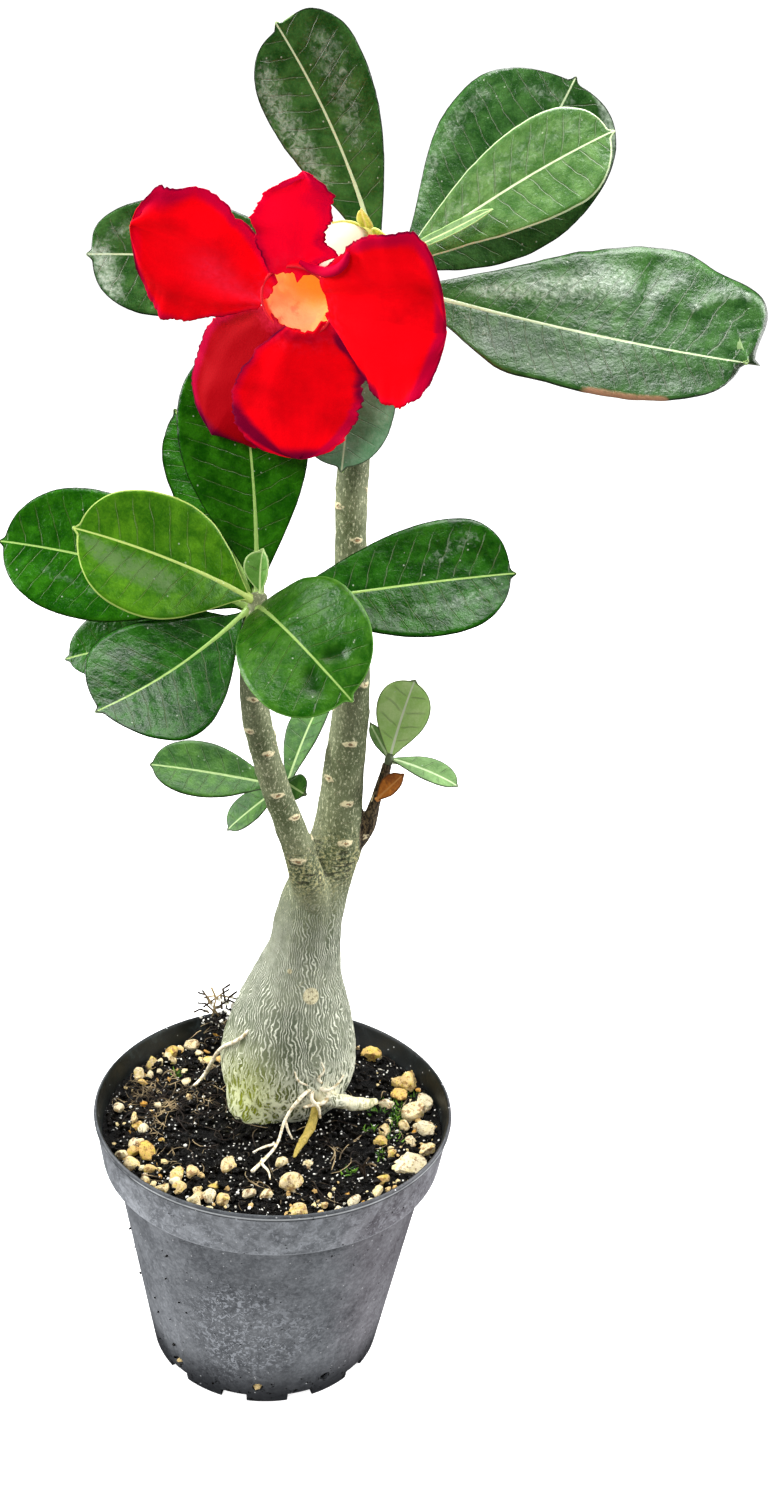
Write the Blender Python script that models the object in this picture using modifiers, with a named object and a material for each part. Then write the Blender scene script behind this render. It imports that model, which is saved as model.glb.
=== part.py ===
"""A desert rose with one open flower, grown in a round plastic nursery pot.

The origin is the middle of the pot's foot, +Z is up and the flower faces -Y.
Sizes here are in millimetres, and MM turns them into Blender's metres.
"""

import math
from typing import NamedTuple

import bmesh
import bpy
from mathutils import Vector

MM = 0.001
GAP = 0.35
WELD = 0.00001

# The pot: a tapered tub with a stepped band under its rim.
RIM_RADIUS = 54.0
POT_HEIGHT = 84.0
BAND_FOOT_HEIGHT = 68.5
BAND_FOOT_RADIUS = 51.5
BODY_TOP_RADIUS = 48.0
FOOT_RADIUS = 35.7
FOOT_ROUND = 0.9
WALL = 1.3
FLOOR = 2.0
LIP_ROUND = 0.5
POT_SIDES = 48
NOTCH_COUNT = 11
NOTCH_PHASE = -68.0
NOTCH_WIDTH = 8.0
NOTCH_DEPTH = 7.0
NOTCH_HEIGHT = 3.2
HOLE_RADIUS = 1.7
HOLE_HEIGHT = 7.0
HOLE_ANGLES = (-89.0, -56.0, -131.0)
HOLE_SIDES = 10

# The soil fills the pot, and the pumice stones stand half out of it.
SOIL_TOP = 77.0
STONE_SUNK = 0.12
STONE_REACH = 50.2
ROUND_STONE = 5.0
# Each stone is written as its place across the pot and its size.
STONES = (
    (-37, 34, 3.5), (-43, 27, 3.8), (-46, 21, 3.4), (-41, 19, 2.6), (-31, 39, 3.5), (-27, 33, 2.4),
    (-35, 28, 2.4), (-29, 17, 2.4), (-27, 9, 2.2), (-40, -16, 3.1), (-36, -20, 4.5), (-44, -23, 3.4),
    (-39, -26, 3.8), (-34, -33, 2.4), (-25, -30, 4.1), (-21, -28, 3.4), (-29, -37, 3.7), (-24, -36, 3.6),
    (-19, -42, 4.0), (-15, -38, 3.8), (-11, -40, 3.7), (-11, -24, 4.3), (-4, -36, 3.4), (1, -36, 3.4),
    (8, -31, 5.8), (4, -21, 2.8), (12, -21, 2.9), (11, -44, 5.0), (18, -39, 2.0), (22, -41, 2.3),
    (26, -37, 3.7), (33, -32, 3.4), (34, -26, 3.1), (42, -18, 7.0), (47, -10, 4.2), (42, -7, 3.2),
    (33, -8, 3.5), (34, -2, 3.6), (46, 0, 4.7), (43, 7, 6.2), (49, 14, 5.2), (45, 26, 6.0),
    (38, 17, 4.1), (34, 12, 3.2), (38, 23, 4.1), (29, 39, 5.4), (34, 43, 3.1),
)

# A heap of crumbs against the rim at the back, as x, y, z and size.
HEAP = (
    (-17.0, 40.0, 77.0, 14.0), (-21.0, 40.0, 82.0, 7.0), (-16.2, 43.0, 82.6, 7.5), (-19.0, 42.4, 86.0, 5.0),
    (-22.6, 40.6, 85.6, 3.2), (-14.6, 42.4, 86.4, 3.6),
)

# Stems and roots are round, and each stop is x, y, z and radius.
TRUNK = (
    (3.5, 17.5, 58.0, 11.0), (3.5, 17.5, 68.0, 13.0), (3.3, 17.3, 76.0, 16.2), (3.0, 17.0, 83.0, 20.0),
    (2.8, 17.0, 90.0, 21.0), (3.2, 17.0, 99.0, 19.8), (4.0, 17.0, 110.0, 17.0), (4.9, 17.0, 119.0, 13.7),
    (6.3, 17.0, 128.0, 11.2), (7.2, 17.0, 138.0, 10.2), (8.7, 17.0, 146.0, 9.6), (11.5, 17.0, 155.0, 8.4),
    (14.0, 17.0, 164.0, 8.0), (14.7, 16.8, 171.0, 7.1), (15.0, 16.3, 181.0, 6.2), (15.9, 15.6, 196.0, 5.6),
    (16.6, 15.0, 209.0, 5.2), (16.3, 14.4, 220.0, 4.8), (15.2, 13.3, 238.0, 4.4), (14.3, 12.0, 255.0, 4.3),
    (13.8, 11.0, 277.0, 4.2), (14.8, 10.5, 290.0, 3.9), (16.3, 10.0, 302.0, 3.7), (18.3, 9.0, 316.0, 3.4),
    (19.3, 8.3, 324.0, 3.0), (19.5, 8.0, 329.0, 2.9), (19.5, 8.0, 331.6, 2.4),
)
BUTTRESS = (
    (0.0, 14.0, 97.0, 13.5), (-3.0, 11.5, 88.0, 12.3), (-4.6, 8.6, 80.0, 10.8), (-5.0, 7.6, 73.0, 9.4),
    (-5.0, 7.6, 66.0, 8.0),
)
BRANCH = (
    (9.2, 14.0, 146.0, 6.0), (7.6, 9.5, 153.0, 5.4), (6.2, 6.3, 159.0, 5.0), (4.1, 3.0, 168.0, 4.5),
    (0.0, -0.8, 181.0, 4.2), (-2.6, -3.8, 190.0, 4.0), (-6.6, -8.0, 206.0, 3.9), (-8.3, -10.4, 215.0, 3.8),
    (-9.0, -12.8, 226.0, 3.6), (-8.6, -14.0, 236.5, 3.3), (-8.2, -14.3, 245.0, 2.9),
    (-8.2, -14.3, 249.3, 2.4),
)
TWIG = (
    (17.0, 16.5, 161.0, 3.0), (22.4, 16.3, 169.0, 2.4), (24.8, 16.1, 178.0, 1.8), (26.8, 16.0, 186.0, 1.5),
    (27.9, 16.0, 191.0, 1.4),
)
RIGHT_ROOT = (
    (12.0, 3.0, 90.0, 2.2), (14.5, -0.6, 88.0, 2.2), (21.5, 1.6, 82.6, 2.0), (27.0, 5.6, 79.6, 1.8),
    (30.5, 9.0, 79.0, 1.2),
)
FRONT_ROOT = (
    (12.6, 1.5, 88.0, 1.6), (12.6, -3.0, 84.6, 1.7), (11.0, -7.4, 79.9, 1.6), (9.0, -14.0, 78.8, 1.3),
    (7.6, -19.4, 78.4, 0.9),
)
THREAD_ROOT = (
    (12.4, 0.8, 90.4, 0.7), (8.6, -5.0, 89.6, 0.7), (4.0, -8.0, 83.4, 0.6), (1.8, -13.5, 78.4, 0.6),
    (-0.4, -20.0, 78.2, 0.6), (-3.9, -27.0, 78.2, 0.5),
)
SIDE_THREAD_ROOT = (
    (-7.0, 5.0, 108.0, 0.6), (-10.6, 3.6, 104.0, 0.6), (-17.4, 8.8, 96.0, 0.6), (-21.4, 14.0, 86.0, 0.6),
    (-24.0, 18.4, 78.7, 0.6), (-26.0, 14.0, 78.4, 0.5),
)
TRUNK_ROUNDNESS = 6
STEM_ROUNDNESS = 3
ROOT_ROUNDNESS = 1

# Leaf blades stand round the tips of the main stem and the branch.
TOP_TIP = Vector((19.5, 8.0, 0.0))
SIDE_TIP = Vector((-8.2, -14.3, 0.0))
TIP_REACH = 3.5
LEAF_THICKNESS = 0.8
SECTION_CURVE = 1.4
LEAF_ROWS = 11
LEAF_COLUMNS = 4
SMALL_ROWS = 7
SMALL_COLUMNS = 4

# The flower: a funnel that flares to its throat, five lobes on its rim and a green calyx.
THROAT = Vector((-0.1, -26.0, 324.5))
FACE = Vector((-0.33, -0.92, -0.22)).normalized()
THROAT_RADIUS = 8.0
LOBE_THICKNESS = 0.8
LOBE_FOOT = 4.5
LOBE_WAVE = 0.7
LOBE_ROWS = 9
LOBE_COLUMNS = 4
FUNNEL_WALL = 0.8
FUNNEL = (
    (13.3, 1.2, 337.6, 1.9), (9.8, -4.0, 336.4, 4.6), (5.4, -11.0, 332.6, 7.0), (2.0, -18.2, 328.4, 8.2),
    (0.5, -23.2, 325.6, 8.8), (-0.3, -26.6, 324.4, 9.2),
)
CALYX_CENTRE = Vector((14.8, 3.4, 338.0))
CALYX_RADIUS = 2.3
STALK = ((19.4, 7.3, 332.6, 1.1), (18.2, 5.8, 335.4, 1.1), (15.6, 4.1, 337.4, 1.3))
SEPAL_COUNT = 5
SEPAL_LENGTH = 6.8
SEPAL_HALF_WIDTH = 1.5
SEPAL_SPLAY = 64.0
SEPAL_PHASE = 100.0
SEPAL_ROWS = 5
SEPAL_COLUMNS = 2

LEAF_GREEN = (0.035, 0.13, 0.02, 1.0)
YOUNG_GREEN = (0.22, 0.38, 0.06, 1.0)
PETAL_RED = (0.72, 0.0, 0.008, 1.0)
BARK_GREY = (0.25, 0.27, 0.17, 1.0)
POT_GREY = (0.10, 0.11, 0.13, 1.0)
SOIL_BLACK = (0.018, 0.014, 0.011, 1.0)
DRIED_BROWN = (0.42, 0.16, 0.03, 1.0)


class Blade(NamedTuple):
    """A leaf or a petal, in millimetres and degrees, from its foot to its tip."""

    name: str
    foot: Vector
    heading: float
    rise: float
    roll: float
    length: float
    left: float
    right: float
    arch: float = 0.0
    sweep: float = 0.0
    cup: float = 0.12
    widest: tuple = (0.64, 0.64)
    overrun: tuple = (0.0, 0.0)
    blunt: float = 2.3
    foot_half: float = 1.0
    taper: float = 1.25
    corners: tuple = ()
    wave: float = 0.0
    waves: float = 2.5


def clear_scene():
    """Remove whatever the scene holds."""
    for obj in list(bpy.data.objects):
        bpy.data.objects.remove(obj, do_unlink=True)


def new_collection(name):
    """Make a collection in the scene."""
    collection = bpy.data.collections.new(name)
    bpy.context.scene.collection.children.link(collection)
    return collection


def new_material(name, colour, roughness):
    """Make a plain material with one colour and one roughness."""
    material = bpy.data.materials.new(name)
    material.use_nodes = True
    shader = material.node_tree.nodes["Principled BSDF"]
    shader.inputs["Base Color"].default_value = colour
    shader.inputs["Roughness"].default_value = roughness
    shader.inputs["Metallic"].default_value = 0.0
    return material


def add_object(name, data, collection):
    """Put a mesh or a curve in a collection as a named object."""
    obj = bpy.data.objects.new(name, data)
    collection.objects.link(obj)
    return obj


def evaluated_mesh(obj):
    """Give an object's mesh as its modifiers or its bevel leave it, with its doubles welded."""
    bpy.context.view_layer.update()
    graph = bpy.context.evaluated_depsgraph_get()
    mesh = bpy.data.meshes.new_from_object(obj.evaluated_get(graph))
    bm = bmesh.new()
    bm.from_mesh(mesh)
    bmesh.ops.remove_doubles(bm, verts=bm.verts, dist=WELD)
    bmesh.ops.recalc_face_normals(bm, faces=bm.faces)
    bm.to_mesh(mesh)
    bm.free()
    return mesh


def settle(obj):
    """Replace an object by a mesh object that holds its evaluated shape."""
    name = obj.name
    collection = obj.users_collection[0]
    mesh = evaluated_mesh(obj)
    matrix = obj.matrix_world.copy()
    bpy.data.objects.remove(obj, do_unlink=True)
    settled = add_object(name, mesh, collection)
    settled.matrix_world = matrix
    return settled


def join_solids(first, others, operation="UNION", solver="EXACT"):
    """Join solids into the first one, or cut them out of it, and remove them."""
    group = bpy.data.collections.new("operands")
    for other in others:
        group.objects.link(other)
    modifier = first.modifiers.new("join", "BOOLEAN")
    modifier.operation = operation
    modifier.operand_type = "COLLECTION"
    modifier.collection = group
    modifier.solver = solver
    joined = settle(first)
    for other in others:
        bpy.data.objects.remove(other, do_unlink=True)
    bpy.data.collections.remove(group)
    return joined


def finish(obj, material, crease=40.0):
    """Give an object its material and smooth shading with sharp creases."""
    obj.data.materials.clear()
    obj.data.materials.append(material)
    obj.data.shade_smooth()
    obj.data.set_sharp_from_angle(angle=math.radians(crease))
    return obj


def tube(name, stops, roundness, collection, capped=True, extra=0.0):
    """A round stem through stops of x, y, z and radius, with all radii grown by extra."""
    curve = bpy.data.curves.new(name, "CURVE")
    curve.dimensions = "3D"
    curve.resolution_u = 2
    curve.bevel_depth = MM
    curve.bevel_resolution = roundness
    curve.use_fill_caps = capped
    spline = curve.splines.new("BEZIER")
    spline.radius_interpolation = "CARDINAL"
    spline.bezier_points.add(len(stops) - 1)
    for point, (x, y, z, radius) in zip(spline.bezier_points, stops):
        point.co = Vector((x, y, z)) * MM
        point.radius = radius + extra
        point.handle_left_type = "AUTO"
        point.handle_right_type = "AUTO"
    return settle(add_object(name, curve, collection))


def ball(name, centre, radius, detail, collection):
    """A round lump made of an icosphere."""
    mesh = bpy.data.meshes.new(name)
    bm = bmesh.new()
    bmesh.ops.create_icosphere(bm, subdivisions=detail, radius=radius * MM)
    bmesh.ops.translate(bm, verts=bm.verts, vec=centre * MM)
    bm.to_mesh(mesh)
    bm.free()
    return add_object(name, mesh, collection)


def turned(name, profile, sides, collection):
    """Turn a closed profile of radius and height about the Z axis."""
    mesh = bpy.data.meshes.new(name)
    points = [(radius * MM, 0.0, height * MM) for radius, height in profile]
    edges = [(i, i + 1) for i in range(len(points) - 1)]
    mesh.from_pydata(points, edges, [])
    obj = add_object(name, mesh, collection)
    screw = obj.modifiers.new("turn", "SCREW")
    screw.axis = "Z"
    screw.steps = sides
    screw.render_steps = sides
    screw.use_merge_vertices = True
    screw.merge_threshold = WELD
    return settle(obj)


def blade_axes(blade):
    """Directions along, across and up from a blade at its foot."""
    heading = math.radians(blade.heading)
    rise = math.radians(blade.rise)
    roll = math.radians(blade.roll)
    along = Vector((math.cos(rise) * math.cos(heading), math.cos(rise) * math.sin(heading), math.sin(rise)))
    level_up = Vector(
        (-math.sin(rise) * math.cos(heading), -math.sin(rise) * math.sin(heading), math.cos(rise))
    )
    up = level_up * math.cos(roll) + along.cross(level_up) * math.sin(roll)
    return along, along.cross(up), up


def turned_axes(axes, arch, sweep):
    """The blade's directions after it has bent down by arch and to its right by sweep."""
    along, across, up = axes
    bent = along * math.cos(arch) - up * math.sin(arch)
    lifted = up * math.cos(arch) + along * math.sin(arch)
    turned_along = bent * math.cos(sweep) + across * math.sin(sweep)
    return turned_along, across * math.cos(sweep) - bent * math.sin(sweep), lifted


def midrib(blade, places):
    """Points and directions along a blade's midrib at places from 0 at its foot to 1 at its tip."""
    start = blade_axes(blade)
    arch = math.radians(blade.arch)
    sweep = math.radians(blade.sweep)
    point = blade.foot.copy()
    stations = []
    last = None
    for place in places:
        axes = turned_axes(start, arch * place, sweep * place)
        if last is not None:
            point = point + (last[1][0] + axes[0]) * 0.5 * (place - last[0]) * blade.length
        stations.append((point.copy(), axes))
        last = (place, axes)
    return stations


def blade_width(blade, side, place):
    """Half-width of one side of a blade, and how far its shoulder runs forward there."""
    index = 0 if side < 0 else 1
    full = (blade.left, blade.right)[index]
    widest = blade.widest[index]
    if place < widest:
        swell = math.sin(math.pi / 2 * place / widest) ** blade.taper
        width = blade.foot_half + (full - blade.foot_half) * swell
        near_tip = 0.0
    else:
        near_tip = min(1.0, (place - widest) / (1.0 - widest))
        width = full * math.sqrt(max(0.0, 1.0 - near_tip**blade.blunt))
    for corner_side, corner_place, extra, spread in blade.corners:
        if corner_side == side:
            fade = min(1.0, math.sqrt(4.0 * (1.0 - place)))
            width += extra * math.exp(-(((place - corner_place) / spread) ** 2)) * fade
    share = min(1.0, width / full)
    forward = blade.length * blade.overrun[index] * 4.0 * share * (1.0 - share) * near_tip**2
    return width, forward


def blade_places(rows):
    """Places along a blade, closer together towards its rounded tip."""
    return [math.sin(math.pi / 2 * row / rows) ** 1.2 for row in range(rows + 1)]


def blade_surface(blade, rows, columns):
    """The blade as an open grid bent to shape, split into triangles."""
    places = blade_places(rows)
    stations = midrib(blade, places)
    bm = bmesh.new()
    bmesh.ops.create_grid(bm, x_segments=rows, y_segments=columns, size=1.0)
    for vertex in bm.verts:
        row = round((vertex.co.x + 1.0) / 2.0 * rows)
        offset = vertex.co.y
        side = -1 if offset < 0 else 1
        width, forward = blade_width(blade, side, places[row])
        point, (along, across, up) = stations[row]
        share = abs(offset)
        lift = blade.cup * width * share**SECTION_CURVE
        lift += blade.wave * share**2 * places[row] * math.sin(math.tau * blade.waves * places[row] + side)
        place = point + across * (side * share * width) + up * lift + along * (forward * share)
        vertex.co = place * MM
    bmesh.ops.remove_doubles(bm, verts=bm.verts, dist=WELD)
    bmesh.ops.triangulate(bm, faces=bm.faces)
    return bm


def blade_solid(blade, rows, columns, thickness, collection):
    """A blade with real thickness, as a closed solid."""
    bm = blade_surface(blade, rows, columns)
    mesh = bpy.data.meshes.new(blade.name)
    bm.to_mesh(mesh)
    bm.free()
    obj = add_object(blade.name, mesh, collection)
    shell = obj.modifiers.new("thickness", "SOLIDIFY")
    shell.thickness = thickness * MM
    shell.offset = 0.0
    return settle(obj)


def tip_leaf(tip, name, height, heading, rise, roll, length, left, right, reach=TIP_REACH, **shape):
    """A leaf whose foot stands beside a stem's tip, on the side it heads for."""
    turn = math.radians(heading)
    foot = tip + Vector((reach * math.cos(turn), reach * math.sin(turn), height))
    return Blade(name, foot, heading, rise, roll, length, left, right, **shape)


def small_leaf(name, foot, heading, rise, roll, length, left, right, **shape):
    """A small leaf with a narrow foot."""
    return Blade(name, Vector(foot), heading, rise, roll, length, left, right, foot_half=0.7, **shape)


def lobe(name, rim_angle, heading, rise, roll, length, left, right, **shape):
    """A petal lobe whose broad foot stands on the funnel's rim."""
    level = FACE.cross(Vector((0, 0, 1))).normalized()
    upright = level.cross(FACE)
    turn = math.radians(rim_angle)
    foot = THROAT + (level * math.cos(turn) + upright * math.sin(turn)) * THROAT_RADIUS
    return Blade(
        name, foot, heading, rise, roll, length, left, right, foot_half=LOBE_FOOT, taper=1.0,
        wave=LOBE_WAVE, **shape
    )


def top_leaves():
    """The six leaves round the tip of the main stem."""
    tip = TOP_TIP
    return (
        tip_leaf(tip, "leaf_top_upright", 331.5, 131, 62, -42, 59.5, 13.5, 14.8, arch=-24, sweep=-18,
                 widest=(0.71, 0.81), overrun=(0.02, 0.07), blunt=2.6),
        tip_leaf(tip, "leaf_top_back_right", 329.5, 39, 18, 52, 67, 25, 20, arch=-54, sweep=-28,
                 cup=-0.09, widest=(0.68, 0.69), overrun=(0.0, 0.02), blunt=2.9),
        tip_leaf(tip, "leaf_top_front_right", 330, -6, 42, 54, 59.5, 13.5, 14.5, arch=6, sweep=12,
                 cup=0.08, widest=(0.73, 0.78), reach=3.6),
        tip_leaf(tip, "leaf_top_right", 325, -22, -8, 42, 89.5, 29, 17, arch=20, sweep=-22, cup=0.03,
                 widest=(0.77, 0.57), overrun=(0.09, -0.04), blunt=2.0,
                 corners=((-1, 0.93, 9.0, 0.06), (1, 0.34, 2.5, 0.1))),
        tip_leaf(tip, "leaf_top_hanging", 327, -132, -75, -43, 47, 11.5, 14, arch=-2, sweep=-7,
                 widest=(0.63, 0.63), overrun=(0.0, 0.02), blunt=2.4, taper=1.5, reach=4.2),
        tip_leaf(tip, "leaf_top_left", 327.5, -179, 5, -69, 70, 15.5, 14, arch=3, sweep=-8,
                 widest=(0.74, 0.7), overrun=(0.02, 0.05), taper=2.0),
    )


def side_leaves():
    """The eight leaves round the tip of the branch."""
    tip = SIDE_TIP
    return (
        tip_leaf(tip, "leaf_side_upright", 249, 100, 74, -12, 64.5, 18, 15.5, arch=-4, sweep=-10,
                 widest=(0.62, 0.63), overrun=(-0.03, 0.0)),
        tip_leaf(tip, "leaf_side_back", 246.5, 125, 49, -11, 54, 10.5, 13, arch=-6, sweep=-9,
                 widest=(0.62, 0.66), overrun=(-0.06, 0.0), blunt=2.1),
        tip_leaf(tip, "leaf_side_far_left", 245.5, 167, 15, -59, 67, 17, 17.5, arch=4, sweep=-14,
                 widest=(0.63, 0.65)),
        tip_leaf(tip, "leaf_side_bright", 249, -137, 33, -86, 48, 16, 14.5, arch=43, sweep=-10, cup=0.18,
                 widest=(0.61, 0.57), overrun=(-0.02, 0.0), blunt=2.4),
        tip_leaf(tip, "leaf_side_low_front", 244, -157, -42, -33, 45.5, 21.5, 18.5, arch=-36, sweep=-1,
                 cup=0.14, widest=(0.67, 0.68), overrun=(-0.02, 0.0), blunt=2.1, reach=3.7),
        tip_leaf(tip, "leaf_side_low_back", 241.5, 163, -19, -59, 53, 8.5, 11, arch=-1, sweep=-4,
                 cup=0.14, widest=(0.61, 0.63), overrun=(0.0, 0.02), taper=1.5, reach=4.1),
        tip_leaf(tip, "leaf_side_front", 246.5, -81, 20, 41, 49.5, 17.5, 16.5, arch=79, cup=0.14,
                 widest=(0.58, 0.71), overrun=(0.0, 0.02), blunt=2.5),
        tip_leaf(tip, "leaf_side_right", 246, 1, 14, 44, 62, 17, 16.5, arch=3, sweep=4,
                 widest=(0.77, 0.69), overrun=(0.02, 0.0), blunt=2.4),
    )


def shoot_leaves():
    """The four small leaves of the side shoot."""
    return (
        small_leaf("shoot_leaf_long", (-3.0, 5.6, 186.6), -172, 13, -39, 35.5, 8.5, 9, arch=1, sweep=-6,
                   widest=(0.63, 0.62)),
        small_leaf("shoot_leaf_low", (-2.6, 6.2, 185.2), -165, -36, -21, 18, 5, 6, arch=7, sweep=-4,
                   cup=0.15, widest=(0.56, 0.58)),
        small_leaf("shoot_leaf_back", (-0.2, 6.2, 186.4), 72, 47, -12, 33, 6.5, 5, arch=12, sweep=5,
                   cup=0.15, widest=(0.58, 0.60)),
        small_leaf("shoot_leaf_folded", (-0.8, 5.6, 188.0), -15, -25, 70, 6.5, 4.5, 3.5, cup=0.2,
                   widest=(0.5, 0.5)),
    )


def twig_leaves():
    """The three small leaves at the end of the dark twig."""
    return (
        small_leaf("twig_leaf_upright", (28.4, 16.0, 192.8), -6, 80, 84, 24.5, 8, 7.5, sweep=6, cup=0.11,
                   widest=(0.65, 0.65)),
        small_leaf("twig_leaf_right", (29.0, 16.0, 192.4), -23, -1, 27, 20.5, 4.5, 3.5, arch=15, sweep=8,
                   cup=0.16, widest=(0.61, 0.60)),
        small_leaf("twig_leaf_back", (27.9, 16.5, 192.9), 141, 48, -69, 10.5, 2, 2, widest=(0.6, 0.6)),
    )


def lobes():
    """The five petal lobes of the flower."""
    return (
        lobe("petal_left", 3, -176, 33, -123, 35, 24, 15.5, arch=-1, sweep=-19, cup=-0.09,
             widest=(0.61, 0.58), overrun=(-0.07, -0.04), blunt=1.9, corners=((1, 0.9, 3.0, 0.06),)),
        lobe("petal_top", 84, -76, 60, -179, 24, 10.5, 7, arch=10, sweep=-1, cup=0.14,
             widest=(0.56, 0.61), overrun=(-0.03, -0.02), blunt=2.0, corners=((1, 0.78, 2.0, 0.08),)),
        lobe("petal_right", 171, -54, -7, 115, 33, 25, 20.5, arch=43, sweep=18, cup=0.14,
             widest=(0.74, 0.60), overrun=(-0.05, 0.0), blunt=2.2, corners=((-1, 0.32, -1.8, 0.16),)),
        lobe("petal_bottom", -103, 100, -60, -170, 32.5, 14.5, 17, arch=-33, sweep=-7, cup=-0.18,
             widest=(0.54, 0.61), corners=((-1, 0.24, 3.6, 0.15),)),
        lobe("petal_low_left", -45, 131, -51, -98, 38.5, 14.5, 17.5, arch=-7, sweep=-5, cup=-0.05,
             widest=(0.60, 0.53), overrun=(0.0, 0.03), blunt=2.2),
    )


def inner_radius(height):
    """The pot's inner radius at a height above the step of its band."""
    share = (height - BAND_FOOT_HEIGHT - WALL) / (POT_HEIGHT - BAND_FOOT_HEIGHT - WALL)
    return BAND_FOOT_RADIUS - WALL + share * (RIM_RADIUS - BAND_FOOT_RADIUS)


def make_pot(collection, cutters, material):
    """The pot, with its band, its drain notches round the foot and a few small holes."""
    step_height = BAND_FOOT_HEIGHT + WALL
    profile = (
        (0.0, FLOOR),
        (FOOT_RADIUS - WALL, FLOOR),
        (BODY_TOP_RADIUS - WALL, step_height),
        (BAND_FOOT_RADIUS - WALL, step_height),
        (RIM_RADIUS - WALL, POT_HEIGHT - LIP_ROUND),
        (RIM_RADIUS - WALL + LIP_ROUND, POT_HEIGHT),
        (RIM_RADIUS - LIP_ROUND, POT_HEIGHT),
        (RIM_RADIUS, POT_HEIGHT - LIP_ROUND),
        (BAND_FOOT_RADIUS, BAND_FOOT_HEIGHT),
        (BODY_TOP_RADIUS, BAND_FOOT_HEIGHT),
        (FOOT_RADIUS, FOOT_ROUND),
        (FOOT_RADIUS - FOOT_ROUND, 0.0),
        (0.0, 0.0),
    )
    pot = turned("pot", profile, POT_SIDES, collection)
    tools = [drain_notch(number, cutters) for number in range(NOTCH_COUNT)]
    tools += [drain_hole(angle, cutters) for angle in HOLE_ANGLES]
    return finish(join_solids(pot, tools, "DIFFERENCE"), material)


def as_cutter(obj):
    """Mark an object as a cutter."""
    obj.hide_render = True
    obj.display_type = "WIRE"
    return obj


def drain_notch(number, cutters):
    """One block that is cut out of the foot's edge."""
    turn = math.radians(NOTCH_PHASE + 360.0 / NOTCH_COUNT * number)
    mesh = bpy.data.meshes.new("notch")
    bm = bmesh.new()
    bmesh.ops.create_cube(bm, size=1.0)
    bmesh.ops.scale(bm, verts=bm.verts, vec=Vector((NOTCH_DEPTH, NOTCH_WIDTH, 2 * NOTCH_HEIGHT)) * MM)
    bm.to_mesh(mesh)
    bm.free()
    notch = add_object("notch", mesh, cutters)
    notch.location = Vector((math.cos(turn), math.sin(turn), 0.0)) * FOOT_RADIUS * MM
    notch.rotation_euler.z = turn
    return as_cutter(notch)


def drain_hole(angle, cutters):
    """One round hole through the wall, low down."""
    turn = math.radians(angle)
    mesh = bpy.data.meshes.new("hole")
    bm = bmesh.new()
    bmesh.ops.create_cone(
        bm, cap_ends=True, segments=HOLE_SIDES, radius1=HOLE_RADIUS * MM, radius2=HOLE_RADIUS * MM,
        depth=8 * WALL * MM,
    )
    bm.to_mesh(mesh)
    bm.free()
    hole = add_object("hole", mesh, cutters)
    hole.location = Vector(
        (FOOT_RADIUS * math.cos(turn) * MM, FOOT_RADIUS * math.sin(turn) * MM, HOLE_HEIGHT * MM)
    )
    hole.rotation_euler = (0.0, math.pi / 2, turn)
    return as_cutter(hole)


def below(stop):
    """A stop a little under a given one, which makes a hole deeper than the stem in it."""
    x, y, z, radius = stop
    return ((x, y, z - 2 * GAP, radius),)


def make_stone(centre, size, collection):
    """One stone or crumb, rounder where it is large."""
    detail = 1 if size < ROUND_STONE else 2
    return ball("stone", centre, size / 2, detail, collection)


def make_soil(collection, cutters, material):
    """The soil, with a plain hole for the caudex and the pumice stones set in its top."""
    step_height = BAND_FOOT_HEIGHT + WALL
    profile = (
        (0.0, SOIL_TOP),
        (inner_radius(SOIL_TOP) - GAP, SOIL_TOP),
        (BAND_FOOT_RADIUS - WALL - GAP, step_height + GAP),
        (BODY_TOP_RADIUS - WALL - GAP, step_height + GAP),
        (FOOT_RADIUS - WALL - GAP, FLOOR + GAP),
        (0.0, FLOOR + GAP),
    )
    soil = turned("soil", profile, POT_SIDES, collection)
    hole = join_solids(
        tube("caudex_hole", below(TRUNK[0]) + TRUNK[:6], TRUNK_ROUNDNESS, cutters, extra=GAP),
        [tube("buttress_hole", BUTTRESS + below(BUTTRESS[-1]), STEM_ROUNDNESS, cutters, extra=GAP)],
    )
    soil = join_solids(soil, [as_cutter(hole)], "DIFFERENCE")
    stones = []
    for x, y, size in STONES:
        inward = min(1.0, (STONE_REACH - size / 2) / math.hypot(x, y))
        stones.append(make_stone(Vector((x * inward, y * inward, SOIL_TOP + STONE_SUNK * size)), size, collection))
    for x, y, z, size in HEAP:
        stones.append(make_stone(Vector((x, y, z)), size, collection))
    return finish(join_solids(soil, stones, solver="MANIFOLD"), material)


def make_caudex(collection, material):
    """The swollen caudex with its main stem, branch, dark twig and surface roots, as one growth."""
    trunk = tube("caudex", TRUNK, TRUNK_ROUNDNESS, collection)
    growths = [
        tube("buttress", BUTTRESS, STEM_ROUNDNESS, collection),
        tube("branch", BRANCH, STEM_ROUNDNESS, collection),
        tube("twig", TWIG, ROOT_ROUNDNESS, collection),
        tube("right_root", RIGHT_ROOT, ROOT_ROUNDNESS, collection),
        tube("front_root", FRONT_ROOT, ROOT_ROUNDNESS, collection),
        tube("thread_root", THREAD_ROOT, ROOT_ROUNDNESS, collection),
        tube("side_thread_root", SIDE_THREAD_ROOT, ROOT_ROUNDNESS, collection),
    ]
    return finish(join_solids(trunk, growths), material)


def make_leaf(blade, collection, material):
    """One large leaf."""
    return finish(blade_solid(blade, LEAF_ROWS, LEAF_COLUMNS, LEAF_THICKNESS, collection), material)


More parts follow.
